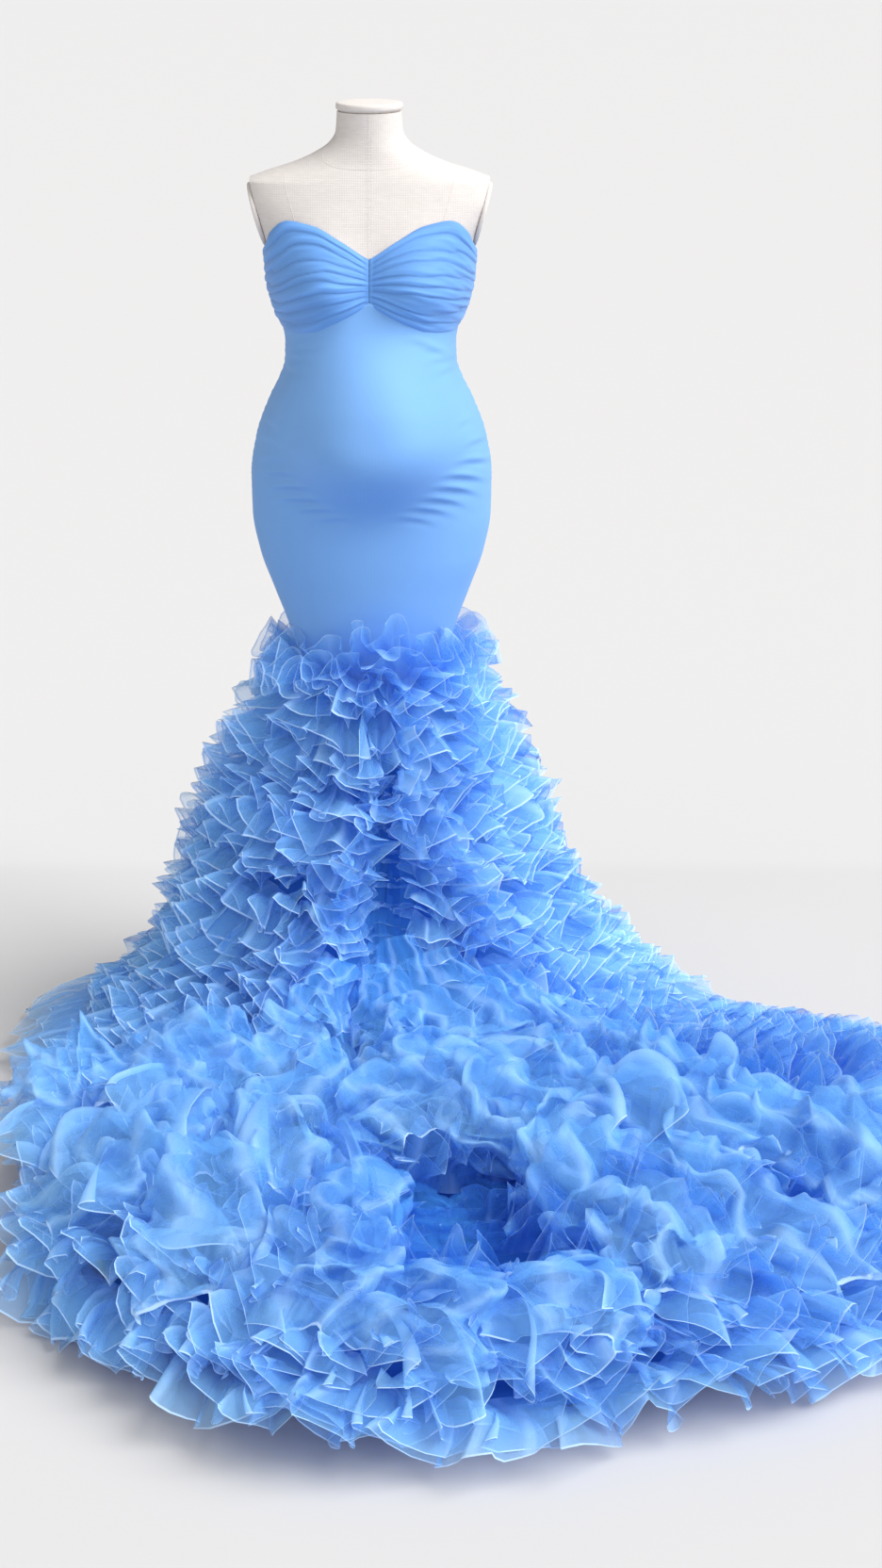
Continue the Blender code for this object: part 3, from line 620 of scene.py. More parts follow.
def jersey_material(colours):
    """Stretch viscose jersey, weft knitted: matt with a soft bloom at grazing angles. Its 0.5 mm wales are
    drawn 1.6 mm wide so that they show."""
    made, tree, shader, place = new_material("stretch_jersey")
    cloud = add(tree, NOISE, None, {"Vector": place["Object"], "Scale": 9.0, "Detail": 3.0})
    grain = add(tree, NOISE, None, {"Vector": place["Object"], "Scale": 900.0, "Detail": 2.0})
    wales = add(
        tree, WAVE, {"wave_type": "BANDS", "bands_direction": "X"},
        {"Vector": place["UV"], "Scale": 100.0, "Distortion": 1.2, "Detail": 2.0, "Detail Scale": 1.5},
    )
    relief = add(tree, MATH, MULTIPLY_ADD, {0: grain.outputs["Fac"], 1: 0.5, 2: wales.outputs["Fac"]})
    bump = add(tree, BUMP, None, {"Strength": 0.10, "Distance": 0.0004, "Height": relief.outputs[0]})
    dark, light = shaded(colours.jersey, 0.94), shaded(colours.jersey, 1.05)
    fill(tree, shader, {
        "Base Color": tint(tree, cloud.outputs["Fac"], dark, light),
        "Normal": bump.outputs["Normal"],
        "Roughness": 0.62,
        "Sheen Weight": 0.10,
        "Sheen Roughness": 0.45,
        "Sheen Tint": shaded(linear(JERSEY_BLOOM)),
        "Specular IOR Level": 0.12,
    })
    return made


def ruched_material(colours):
    """Fine power mesh gathered over jersey: slightly streaked along its folds, with painted highlight on
    their ridges and painted shade in the creases between them.
    """
    made, tree, shader, place = new_material("gathered_power_mesh")
    stretch = add(tree, MAPPING, None, {"Vector": place["UV"], "Scale": (14.0, 420.0, 1.0)})
    streaks = add(tree, NOISE, None, {"Vector": stretch.outputs[0], "Scale": 1.0, "Detail": 3.0})
    fold = add(tree, ATTRIBUTE, {"attribute_name": "fold"})
    # Random streaks and the fold height set the colour: lighter on the ridges and darker in the creases,
    # which is painted highlight and painted shade.
    depth = add(tree, MATH, MULTIPLY_ADD, {0: streaks.outputs["Fac"], 1: 0.45, 2: fold.outputs["Fac"]})
    level = add(tree, RANGE, None, {"Value": depth.outputs[0], "From Min": 0.0, "From Max": 1.3})
    bump = add(tree, BUMP, None, {"Strength": 0.25, "Distance": 0.0006, "Height": streaks.outputs["Fac"]})
    dark, light = shaded(colours.mesh, 0.72), shaded(colours.mesh, 1.12)
    fill(tree, shader, {
        "Base Color": tint(tree, level.outputs[0], dark, light),
        "Normal": bump.outputs["Normal"],
        "Roughness": 0.60,
        "Sheen Weight": 0.30,
        "Sheen Tint": shaded(linear(JERSEY_BLOOM)),
        "Specular IOR Level": 0.2,
    })
    return made


def tulle_material(name, colours, body, edge_share):
    """Soft nylon tulle, a hexagonal net: see-through when flat, denser and paler where it is folded or edged,
    the paleness partly painted highlight, and darker towards its seam, where it is gathered tight and where
    painted shade stands in for the row above. Its 1.5 mm cells are drawn 3 mm wide so that they show close
    up."""
    made, tree, shader, place = new_material(name)
    across = add(tree, SEPARATE, None, {"Vector": place["UV"]})
    edge = add(
        tree, RANGE, {"interpolation_type": "SMOOTHSTEP"},
        {"Value": across.outputs["Y"], "From Min": 1 - 1.6 * edge_share, "From Max": 1 - 0.7 * edge_share},
    )
    fold = add(tree, ATTRIBUTE, {"attribute_name": "fold"})
    net = add(
        tree, "ShaderNodeTexVoronoi", {"feature": "DISTANCE_TO_EDGE"},
        {"Vector": place["Object"], "Scale": 330.0},
    )
    cell = net.outputs["Distance"]
    thread = add(
        tree, RANGE, None,
        {"Value": cell, "From Min": 0.02, "From Max": 0.22, "To Min": 1.07, "To Max": 0.95},
    )
    combed = add(tree, MAPPING, None, {"Vector": place["UV"], "Scale": (130.0, 1.6, 1.0)})
    streak = add(tree, NOISE, None, {"Vector": combed.outputs[0], "Scale": 1.0, "Detail": 3.0})
    thin, thick = 0.85 * body, 1.22 * body
    patchy = add(
        tree, RANGE, None,
        {"Value": streak.outputs["Fac"], "From Min": 0.3, "From Max": 0.7, "To Min": thin, "To Max": thick},
    )
    folded = add(tree, MATH, MULTIPLY_ADD, {0: fold.outputs["Fac"], 1: 0.30, 2: patchy.outputs[0]})
    netted = add(tree, MATH, {"operation": "MULTIPLY"}, {0: folded.outputs[0], 1: thread.outputs[0]})
    solid_edge = add(tree, MATH, {"operation": "MULTIPLY"}, {0: edge.outputs[0], 1: 0.72})
    seen = add(
        tree, MATH, {"operation": "MAXIMUM", "use_clamp": True},
        {0: netted.outputs[0], 1: solid_edge.outputs[0]},
    )
    # Paler on the doubled edge, on the crests and by the seam: denser net there, with painted highlight on
    # top.
    paler = add(
        tree, MATH, {"operation": "MULTIPLY_ADD", "use_clamp": True},
        {0: fold.outputs["Fac"], 1: 0.55, 2: edge.outputs[0]},
    )
    outward = add(tree, RANGE, None, {"Value": across.outputs["Y"], "From Min": 0.0, "From Max": 0.9})
    # From the darker gathered tone at the seam to the plain tulle at the free edge. The darker tone is partly
    # painted shade under the row above.
    plain = tint(tree, outward.outputs[0], shaded(colours.tulle_gathers_and_shade), shaded(colours.tulle))
    fill(tree, shader, {
        "Base Color": tint(tree, paler.outputs[0], plain, shaded(colours.tulle_edge)),
        "Alpha": seen.outputs[0],
        "Roughness": 0.55,
        "Specular IOR Level": 0.08,
        "Sheen Weight": 0.12,
        "Sheen Roughness": 0.35,
        "Sheen Tint": shaded(linear(TULLE_BLOOM)),
    })
    return made


def lining_material(colours):
    """Two layers of tulle over a lining: the full colour, darkened further as painted shade, which shows in
    the gaps between ruffles.
    """
    made, tree, shader, place = new_material("lined_tulle")
    cloud = add(tree, NOISE, None, {"Vector": place["Object"], "Scale": 30.0, "Detail": 4.0})
    bump = add(tree, BUMP, None, {"Strength": 0.3, "Distance": 0.004, "Height": cloud.outputs["Fac"]})
    dark, light = shaded(colours.lining, 0.75), shaded(colours.lining, 1.1)
    fill(tree, shader, {
        "Base Color": tint(tree, cloud.outputs["Fac"], dark, light),
        "Normal": bump.outputs["Normal"],
        "Roughness": 0.8,
        "Specular IOR Level": 0.15,
    })
    return made


def linen_material(colours, name="linen_over_papier_mache", lighter=1.0):
    """Unbleached linen glued over papier-mache: matt, with flecks and a plain weave. Its 0.6 mm threads
    are drawn 1.8 mm wide so that they show."""
    made, tree, shader, place = new_material(name)
    warp, weft = (
        add(
            tree, WAVE, {"wave_type": "BANDS", "bands_direction": axis},
            {"Vector": place["Object"], "Scale": 90.0, "Distortion": 2.5, "Detail": 2.0},
        )
        for axis in "XZ"
    )
    weave = add(tree, MATH, {"operation": "ADD"}, {0: warp.outputs["Fac"], 1: weft.outputs["Fac"]})
    stretch = add(tree, MAPPING, None, {"Vector": place["Object"], "Scale": (60.0, 60.0, 190.0)})
    fibres = add(
        tree, NOISE, None,
        {"Vector": stretch.outputs[0], "Scale": 1.0, "Detail": 5.0, "Roughness": 0.7},
    )
    level = add(tree, RANGE, None, {"Value": fibres.outputs["Fac"], "From Min": 0.25, "From Max": 0.7})
    height = add(tree, MATH, MULTIPLY_ADD, {0: fibres.outputs["Fac"], 1: 1.5, 2: weave.outputs[0]})
    bump = add(tree, BUMP, None, {"Strength": 0.22, "Distance": 0.0006, "Height": height.outputs[0]})
    dark, light = shaded(colours.linen, 0.93 * lighter), shaded(colours.linen, 1.03 * lighter)
    fill(tree, shader, {
        "Base Color": tint(tree, level.outputs[0], dark, light),
        "Normal": bump.outputs["Normal"],
        "Roughness": 0.85,
        "Specular IOR Level": 0.2,
    })
    return made


def steel_material(colours):
    """Satin turned steel: fine rings round the pole, mid gloss."""
    made, tree, shader, place = new_material("satin_steel")
    rings = add(tree, NOISE, None, {"Vector": place["Object"], "Scale": 400.0, "Detail": 2.0})
    rough = add(tree, RANGE, None, {"Value": rings.outputs["Fac"], "To Min": 0.28, "To Max": 0.42})
    fill(tree, shader, {
        "Base Color": shaded(colours.steel),
        "Roughness": rough.outputs[0],
        "Metallic": 1.0,
    })
    return made


def floor_material(colours):
    """Matt sealed screed, laid flat: a faint cloudiness, and a lighter field behind that stands for the pale
    backdrop.
    """
    made, tree, shader, place = new_material("sealed_screed")
    apart = add(tree, SEPARATE, None, {"Vector": place["Object"]})
    cloud = add(tree, NOISE, None, {"Vector": place["Object"], "Scale": 1.6, "Detail": 5.0})
    near = tint(tree, cloud.outputs["Fac"], shaded(colours.floor, 0.985), shaded(colours.floor, 1.02))
    behind = add(
        tree, RANGE, {"interpolation_type": "SMOOTHSTEP"},
        {"Value": apart.outputs["Y"], "From Min": 0.80, "From Max": 0.90},
    )
    fill(tree, shader, {
        "Base Color": tint(tree, behind.outputs[0], near, shaded(colours.floor, 1.045)),
        "Roughness": 0.75,
        "Specular IOR Level": 0.15,
    })
    return made


# Cut pieces of cloth


def drag_folds(x, height):
    """Depth of the drag lines at a place on the front panel: a soft ridge over a softer hollow."""
    total = np.zeros_like(x)
    for row in DRAG_ROWS:
        fold = dict(zip(DRAG_COLUMNS, row))
        along = (x - fold["x"]) / (0.5 * fold["length"])
        across = height - fold["height"] - fold["slope"] * (x - fold["x"]) + 0.004 * along * along
        reach = np.exp(-(along**2) * 1.4)
        ridge = hill(across, 0.0, 0.0048) - 0.75 * hill(across, -0.0085, 0.0052)
        total += fold["depth"] * reach * ridge
    return total


def cup_along(azimuth):
    """0 at the centre front, 1 at the side seams."""
    return np.abs(azimuth - FRONT) / QUARTER


def back_edges(azimuth):
    round_the_back = np.clip(np.sin(np.radians(azimuth)), 0, 1) ** 0.7
    bottom = CUP["bottom"](1.0) + (BACK_BOTTOM - CUP["bottom"](1.0)) * round_the_back
    top = CUP["top"](1.0) + (BACK_TOP - CUP["top"](1.0)) * round_the_back
    return bottom, top


def jersey_panel(name, azimuths, tops, rows, folds, finish):
    """A smooth stretch panel from the knee seam up to the ruching, tucked a little under it."""
    share = np.linspace(0, 1, rows)[:, None]
    bottom = KNEE_HEIGHT - SEAM_TUCK
    height = bottom + (tops[None, :] - bottom) * share
    azimuth = np.broadcast_to(azimuths, height.shape)
    base = body_surface(azimuth, height)
    normals = normals_of(body_surface, azimuth, height, *BODY_STEPS)
    out = drag_folds(base[..., 0], height) if folds else 0 * height
    side = np.minimum(np.abs(azimuth % 180), 180 - np.abs(azimuth % 180))
    seam_pull = -0.0007 * hill(side, 0.0, 1.2)
    crumple = 0.0005 * np.sin(height * 640 + 2.0 * np.sin(height * 90)) * hill(side, 0.0, 9.0)
    out = out + seam_pull + crumple * smooth_step(0.92, 1.0, height)
    outer = base + normals * out[..., None]
    inner = outer - normals * PANEL_THICKNESS
    uvs = np.stack([np.radians(azimuth) * 0.16, height], axis=-1)
    return shell(name, outer, inner, uvs, finish)


def ruching(along, up, folds, seed):
    """Height, from 0 to 1, of irregular gathered folds that pinch together at the centre seam."""
    sway = 0.050 * wander(seed, along, 1.3, 2) + 0.012 * wander(seed + 1, along + 3.1 * up, 0.9, 2)
    spread = up + sway * np.sin(math.pi * up) * smooth_step(0.0, 0.25, along)
    phase = folds * spread + 0.30 * wander(seed + 2, up + 0.15 * along, 0.45) * smooth_step(0.02, 0.3, along)
    saw = phase - np.floor(phase)
    ridge = np.clip(np.sin(math.pi * saw**0.75), 0, 1) ** 0.8
    second = 0.5 + 0.5 * np.sin(2 * math.pi * (1.9 * phase + 0.5 * wander(seed + 3, along + up, 1.1, 2)))
    strong = 0.72 + 0.28 * wander(seed + 4, up * 2.0 + along * 0.7, 0.8)
    return np.clip(strong * ridge * (0.86 + 0.14 * second), 0, 1)


def ruched_piece(name, azimuths, bottom, top, folds, height_out, seed, pinch, finish):
    """A gathered panel of the bust: folds run from the centre seam, where they are pinched, to the side."""
    up = np.linspace(0, 1, RUCHED_ROWS)[:, None]
    height = bottom[None, :] + (top - bottom)[None, :] * up
    azimuth = np.broadcast_to(azimuths, height.shape)
    along = np.broadcast_to(cup_along(azimuths) if pinch else (azimuths - BACK) / QUARTER, height.shape)
    relief = ruching(along, up + 0 * along, folds, seed)
    swell = 0.55 + 0.45 * np.sin(math.pi * np.clip(along, 0, 1)) ** 0.6 if pinch else 0.8
    waist = smooth_step(0.0, 0.10, along) if pinch else 1.0
    roll = np.sqrt(np.clip(1 - (2 * up - 1) ** 6, 0, 1))
    out = (0.0012 + height_out * relief * swell) * roll + 0.0035 * waist * roll - 0.0016
    if pinch:
        out = np.maximum(out - 0.0040 * hill(along, 0.0, 0.018), -0.0012)
    outer = body_points(azimuth, height, out)
    inner = body_points(azimuth, height, np.minimum(out - 0.0010, -0.0022))
    uvs = np.stack([along * 0.26, up * 0.12 + 0 * along], axis=-1)
    # The fold height is also kept for the material, which paints the creases darker and the ridges lighter as
    # shade and highlight.
    return shell(name, outer, inner, uvs, finish, attributes=(("fold", relief),))


def eddies(points, size, seed):
    """A smooth random push for each point, about 1 long, that changes over about that size."""
    dice = np.random.default_rng(seed)
    total = np.zeros_like(points)
    for _ in range(7):
        way = unit(dice.normal(size=3)) * 2 * math.pi / (size * dice.uniform(1.5, 2.8))
        total += unit(dice.normal(size=3)) * np.sin(points @ way + dice.uniform(0, 2 * math.pi))[..., None]
    return total / 1.9


class Flounces:
    """Strips of net gathered on one edge, collected as one mesh."""

    def __init__(self, per_loop=14, rows=8):
        self.per_loop = per_loop
        self.fluted = per_loop >= FLUTED_FROM
        self.rows = rows
        self.points = []
        self.faces = []
        self.uvs = []
        self.folds = []
        self.outs = []
        self.count = 0

    def add(
        self, path, normal, down, depth, loop, wave, lift, seed, curl=0.105, closed=False, fullness=None,
        crush=(0.011, 0.0018), flatten=None, droop=24,
    ):
        """Sews on one strip. path, normal and down hold a point, the way out and the way down for each step
        of its seam. lift is its angle off the cloth below at the seam and at its free edge, in degrees.
        crush is how far its free edge is pushed about, over a hand's width and over a finger's. flatten
        is how much of its lift it has lost at each step of the seam, where its free edge hangs by droop."""
        # Where the loops fall along the seam
        steps = np.linalg.norm(np.diff(path, axis=0), axis=1)
        length = np.concatenate([[0.0], np.cumsum(steps)])
        loops = loop * (1 + 0.30 * wander(seed, length, 8 * loop))
        turns = np.concatenate([[0.0], np.cumsum(steps / loops[:-1])])
        waves = max(2, round(turns[-1]))
        turns *= waves / turns[-1]
        columns = waves * self.per_loop + (0 if closed else 1)
        even = 2 * math.pi * np.arange(columns) / self.per_loop
        phase = even + 0.22 * np.sin(2 * even)  # columns closer together at the crests
        at = np.interp(phase / (2 * math.pi), turns, length)
        # The place and the ways out, down and aside at each column of points
        place, out, fall = (
            np.stack([np.interp(at, length, values[:, i]) for i in range(3)], axis=-1)
            for values in (path, normal, down)
        )
        out = unit(out)
        fall = unit(fall - out * (fall * out).sum(-1, keepdims=True))
        side = unit(np.cross(fall, out))
        # How deep it hangs and how far it stands off the cloth below
        across = np.linspace(0, 1, self.rows)[:, None] ** 0.9
        fill = np.interp(at, length, fullness) if fullness is not None else np.ones(columns)
        scale = loop / 0.06
        reach = depth * (1 + 0.15 * wander(seed + 1, at, 0.34 * scale)) * (0.12 + 0.88 * fill)
        start = np.radians(lift[0] + 12 * wander(seed + 2, at, 0.40 * scale))
        finish = np.radians(lift[1] + 24 * wander(seed + 3, at, 0.30 * scale))
        if flatten is not None:
            kept = 1 - np.interp(at, length, flatten)
            start, finish = start * kept, finish * kept - math.radians(droop) * (1 - kept)
        angle = start + (finish - start) * across
        between = start + (finish - start) * 0.5 * across
        mean_fall = reach * across * np.cos(between)
        mean_out = reach * across * np.sin(between)
        # Its waves, gathers and flutes, and the curl of its edge
        size = wave * (1 + 0.34 * wander(seed + 4, at, 0.16 * scale)) * fill
        swing = np.sin(phase) + 0.10 * np.sin(2 * phase + 2.6 * wander(seed + 5, at, 0.3 * scale))
        gathers = 0.20 * np.sin(3 * phase + 3 * wander(seed + 6, at, 0.2 * scale)) * 4 * across * (1 - across)
        flutes = 0.06 * np.sin(4 * phase + 5 * wander(seed + 7, at, 0.3 * scale)) if self.fluted else 0.0
        opening = np.sin(1.9 * across**0.8) / np.sin(1.5) if self.fluted else across**1.1
        rise = size * (opening * swing + gathers + flutes * np.sqrt(across) * (1.2 - across))
        local = np.interp(at, length, loops)
        bend = curl * local * (1 + 0.45 * wander(seed + 8, at, 0.2 * scale))
        sideways = -bend * across**1.2 * np.sin(2 * phase)
        sideways = sideways + 0.30 * local * across * wander(seed + 9, at, 0.12 * scale)
        along_fall = mean_fall - rise * np.sin(angle)
        along_out = mean_out + rise * np.cos(angle)
        least = 0.004 * across
        along_out = least + eased_above(along_out - least, 0.007) * across**0.3
        points = place + fall * along_fall[..., None] + out * along_out[..., None]
        points = points + side * sideways[..., None]
        # Pushed about, and kept above the floor
        loose = across[..., None] * fill[:, None]
        grain = float(np.clip(scale, 1.0, 2.2))
        pushed = eddies(points, 0.075 * grain, 1) + eddies(points, 0.15 * grain, 2)
        points = points + crush[0] * loose * pushed
        points = points + crush[1] * np.sqrt(loose) * eddies(points, 0.026 * grain, seed)
        low = points[..., 2] - CLOTH_BOTTOM - 0.003 * (0.5 + 0.5 * np.sin(phase))
        points[..., 2] = CLOTH_BOTTOM + eased_above(low, 0.008)
        # Crests of the loops and a band by the seam, where the net is denser: drawn more opaque and paler
        # there, the paleness partly painted highlight.
        crest = np.abs(np.sin(phase)) ** 10 * (0.25 + 0.75 * across) + 0.8 * (1 - across) ** 3
        self.faces.append(grid_faces(self.rows, columns, closed, self.count))
        self.points.append(points.reshape(-1, 3))
        uv = np.stack([np.broadcast_to(at, crest.shape), across + 0 * crest], axis=-1)
        self.uvs.append(uv.reshape(-1, 2))
        self.folds.append(crest.ravel())
        self.outs.append(np.broadcast_to(out, points.shape).reshape(-1, 3))
        self.count += self.rows * columns

    def billow(self, path, out, width, height, lean, seed, pale=1.0):
        """Lays a bunched length of net over a line: a rounded roll with pleats along it that opens outwards.
        pale is how far it goes from the darker gathered tulle, partly painted shade, to the plain tulle, and
        how pale its pleat ridges are painted, partly as highlight."""
        along = np.linspace(0, 1, len(path))[:, None]
        across = np.linspace(-1, 1, 37)[None, :]
        ahead = unit(np.gradient(path, axis=0))
        side = unit(np.cross(ahead, out))
        length = np.linalg.norm(np.diff(path, axis=0), axis=1).sum()
        taper = np.sin(math.pi * np.clip(0.06 + 0.86 * along, 0, 1)) ** 0.55
        turn = np.radians(112) * across
        drift = 2.6 * wander(seed, along, 0.8)
        pleats = np.sin(6.5 * turn + drift) + 0.6 * np.sin(11 * turn - 1.7 * drift + seed)
        ending = 1 - 0.45 * smooth_step(0.8, 1.0, along)
        wide = 0.5 * width * ending * (0.55 + 0.75 * along) * (1 + 0.16 * wander(seed + 1, along, 0.5))
        tall = height * taper * (1 + 0.22 * wander(seed + 2, along, 0.4))
        swell = 1 + 0.120 * pleats * (0.45 + 0.55 * along)
        sway = lean * (0.4 + along) + 0.30 * wander(seed + 3, along, 0.6)
        over = (np.cos(turn) + 0.37) / 1.37
        points = (
            path[:, None, :]
            + side[:, None, :] * (wide * np.sin(turn) * swell + tall * sway * over)[..., None]
            + out[:, None, :] * (tall * over * swell)[..., None]
            + ahead[:, None, :] * (0.05 * length * np.sin(3 * turn + drift) * along)[..., None]
        )
        points = points + 0.018 * eddies(points, 0.20, 3) + 0.0022 * eddies(points, 0.05, seed)
        points[..., 2] = CLOTH_BOTTOM + eased_above(points[..., 2] - CLOTH_BOTTOM, 0.008)
        # Pleat ridges are drawn denser and paler, partly as painted highlight.
        crest = (0.5 + 0.5 * np.sin(6.5 * turn + drift)) ** 8 * 0.8 * pale + 0 * along
        uv = np.stack([0 * along + turn * 0.5 * width, pale * along + 0 * turn], axis=-1)
        self.faces.append(grid_faces(len(path), across.shape[1], False, self.count))
        self.points.append(points.reshape(-1, 3))
        self.uvs.append(uv.reshape(-1, 2))
        self.folds.append(crest.ravel())
        self.outs.append(np.broadcast_to(out[:, None, :], points.shape).reshape(-1, 3))
        self.count += points.shape[0] * points.shape[1]

    def make(self, name, finish):
        made = mesh_object(
            name,
            np.concatenate(self.points),
            np.concatenate(self.faces),
            np.concatenate(self.uvs),
            finish,
            (("fold", np.concatenate(self.folds)),),
        )
        self.soften(made.data)
        return made

    def soften(self, mesh):
        """Turns the shading normals partly to the way out, as net passes light on through its layers."""
        outs = np.concatenate(self.outs)
        if len(mesh.vertices) != len(outs):
            return
        normals = np.empty(len(outs) * 3, np.float32)
        mesh.vertex_normals.foreach_get("vector", normals)
        normals = normals.reshape(-1, 3)
        facing = (normals * outs).sum(-1, keepdims=True)
        mesh.normals_split_custom_set_from_vertices(unit(normals + NORMAL_SOFTNESS * facing * outs))


def skirt_path(azimuth, share):
    """Seam points on the underskirt with the ways out and down there."""
    point = skirt_surface(azimuth, share)
    out = skirt_normals(azimuth, share)
    above, below = np.clip(share - 0.01, 0, 1), np.clip(share + 0.01, 0, 1)
    return point, out, unit(skirt_surface(azimuth, below) - skirt_surface(azimuth, above))


def pressed(azimuth):
    """How far the ruffles lie flat, least at the front: the left side and the back right are the lowest."""
    left = hill(np.mod(azimuth, 360.0), 176, 48)
    right = hill(np.mod(azimuth + 180, 360.0), 182, 36)
    return left + 0.9 * right


def declare_cloth(obj, layers=1):
    """Measures the piece's flat area of cloth, and does nothing more with it."""
    area = cloth_area(obj, layers)


def finished(obj):
    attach(obj, "root")
    return obj


# Operators, one for each piece or group


class GOWN_OT_stage(bpy.types.Operator):
    """Sets the pale floor, the soft light and the camera"""

    bl_idname = "gown.stage"
    bl_label = "Stage"

    def execute(self, context):
        colours = context.scene.gown_colours
        corners = [(x * FLOOR_HALF, y * FLOOR_HALF, 0) for x, y in ((-1, -1), (1, -1), (1, 1), (-1, 1))]
        mesh = bpy.data.meshes.new("studio_floor")
        mesh.from_pydata(corners, [], [(0, 1, 2, 3)])
        floor = link(bpy.data.objects.new("studio_floor", mesh))
        floor.data.materials.append(floor_material(colours))

        world = bpy.data.worlds.new("studio")
        world.use_nodes = True
        background = world.node_tree.nodes["Background"]
        background.inputs["Color"].default_value = shaded(linear(SKY_COLOUR))
        background.inputs["Strength"].default_value = SKY_STRENGTH
        context.scene.world = world

        for values in LAMP_ROWS:
            row = dict(zip(LAMP_COLUMNS, values))
            lamp = bpy.data.lights.new(row["name"], "SUN")
            lamp.energy = row["energy"]
            lamp.angle = math.radians(row["spread"])
            lit = link(bpy.data.objects.new(row["name"], lamp))
            lit.rotation_euler = [math.radians(turn) for turn in row["turn"]]

        lens = bpy.data.cameras.new("camera")
        lens.lens = LENS
        lens.sensor_width = SENSOR
        lens.sensor_fit = "AUTO"
        lens.clip_end = 200.0
        camera = link(bpy.data.objects.new("camera", lens))
        camera.location = CAMERA_PLACE
        camera.rotation_euler = (math.radians(90 - CAMERA_DIP), 0, 0)
        context.scene.camera = camera
        context.scene.view_settings.view_transform = "Standard"
        context.scene.cycles.diffuse_bounces = 8
        context.scene.cycles.transparent_max_bounces = 14
        return {"FINISHED"}


class GOWN_OT_dress_form(bpy.types.Operator):
    """Makes the linen dress form with its seams, neck cap and armhole plates, and finishes the stand"""

    bl_idname = "gown.dress_form"
    bl_label = "Dress form"

    def execute(self, context):
        colours = context.scene.gown_colours
        linen = linen_material(colours)
        plate_linen = linen_material(colours, "linen_on_plate", 1.04)
        self.body(linen)
        for side, name in ((1, "left"), (-1, "right")):
            self.plate(side, name, plate_linen)
        self.cap(plate_linen)
        self.seams(linen)
        steel = steel_material(colours)
        for node in ("stand_pole", "stand_base"):
            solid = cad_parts[node]
            solid.data.materials.clear()
            solid.data.materials.append(steel)
        return {"FINISHED"}

    def armhole(self, side):
        x, y, z = PLATE_CENTRE
        lean = Matrix.Rotation(side * (math.pi / 2 + PLATE_TILT), 4, "Y")
        return Matrix.Translation((side * x, y, z)) @ lean

    def body(self, finish):
        waist, chest = 1.20, 1.41
        heights = np.concatenate([
            np.linspace(FORM_BOTTOM, waist, 20)[:-1],
            np.linspace(waist, chest, 60)[:-1],
            np.linspace(chest, NECK_TOP, 50),
        ])
        azimuth = np.linspace(0, 360, 180, endpoint=False)
        inset = np.full((len(heights), len(azimuth)), -FORM_INSET)
        points = body_points(azimuth[None, :], heights[:, None], inset)
        points[..., 2] = np.clip(points[..., 2], FORM_BOTTOM, NECK_TOP)
        points[0, :, 2] = FORM_BOTTOM
        points[-1, :, 2] = NECK_TOP
        rows, columns = points.shape[:2]
        bm = bmesh.new()
        vertices = [bm.verts.new(p) for p in points.reshape(-1, 3)]
        for quad in grid_faces(rows, columns, True):
            bm.faces.new([vertices[i] for i in quad])
        bm.faces.new(vertices[:columns])
        bm.faces.new(vertices[-columns:])
        bmesh.ops.recalc_face_normals(bm, faces=bm.faces)
        for side in (1, -1):
            plane = self.armhole(side)
            cut = bmesh.ops.bisect_plane(
                bm,
                geom=bm.verts[:] + bm.edges[:] + bm.faces[:],
                plane_co=plane.translation,
                plane_no=plane.to_3x3() @ Vector((0, 0, 1)),
                clear_outer=True,
            )
            rim = [item for item in cut["geom_cut"] if isinstance(item, bmesh.types.BMEdge)]
            bmesh.ops.contextual_create(bm, geom=rim)
        bmesh.ops.recalc_face_normals(bm, faces=bm.faces)
        form = object_from(bm, "linen_form", finish, 45)
        finished(form)
        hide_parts("form_body")

    def plate(self, side, name, finish):
        bm = bmesh.new()
        bmesh.ops.create_cone(bm, cap_ends=True, segments=96, radius1=1.0, radius2=1.0, depth=1.0)
        bmesh.ops.scale(bm, vec=(PLATE_HALF_HEIGHT, PLATE_HALF_DEPTH, PLATE_THICKNESS), verts=bm.verts)
        bmesh.ops.translate(bm, vec=(0, 0, PLATE_THICKNESS / 2 + 0.0003), verts=bm.verts)
        bmesh.ops.transform(bm, matrix=self.armhole(side), verts=bm.verts)
        plate = object_from(bm, f"plate_{name}", finish)
        rim = plate.modifiers.new("eased rim", "BEVEL")
        rim.width = 0.0030
        rim.segments = 4
        rim.limit_method = "ANGLE"
        rim.angle_limit = math.radians(50)
        finished(plate)
        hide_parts(f"armhole_plate_{name}")

    def cap(self, finish):
        """A turned lid: a fine gap under its lip, a rounded shoulder and a slightly domed top."""
        bottom = NECK_TOP + 0.0004
        top = bottom + CAP_HEIGHT
        profile = [
            (0.0, bottom), (0.0470, bottom), (0.0478, bottom + 0.0006), (0.0480, bottom + 0.0022),
            (0.0505, bottom + 0.0026), (0.0520, bottom + 0.0042),
            (0.0520, top - 0.0042), (0.0512, top - 0.0022), (0.0495, top - 0.0011),
            (0.0470, top - 0.0007), (0.0300, top - 0.0002), (0.0, top),
        ]
        bm = bmesh.new()
        loop = [bm.verts.new((radius, 0, height)) for radius, height in profile]
        edges = [bm.edges.new(pair) for pair in zip(loop, loop[1:])]
        bmesh.ops.spin(bm, geom=loop + edges, cent=(0, 0, 0), axis=(0, 0, 1), angle=2 * math.pi, steps=96)
        bmesh.ops.remove_doubles(bm, verts=bm.verts, dist=1e-5)
        bmesh.ops.recalc_face_normals(bm, faces=bm.faces)
        lid = object_from(bm, "neck_lid", finish, 50)
        finished(lid)
        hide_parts("neck_cap")

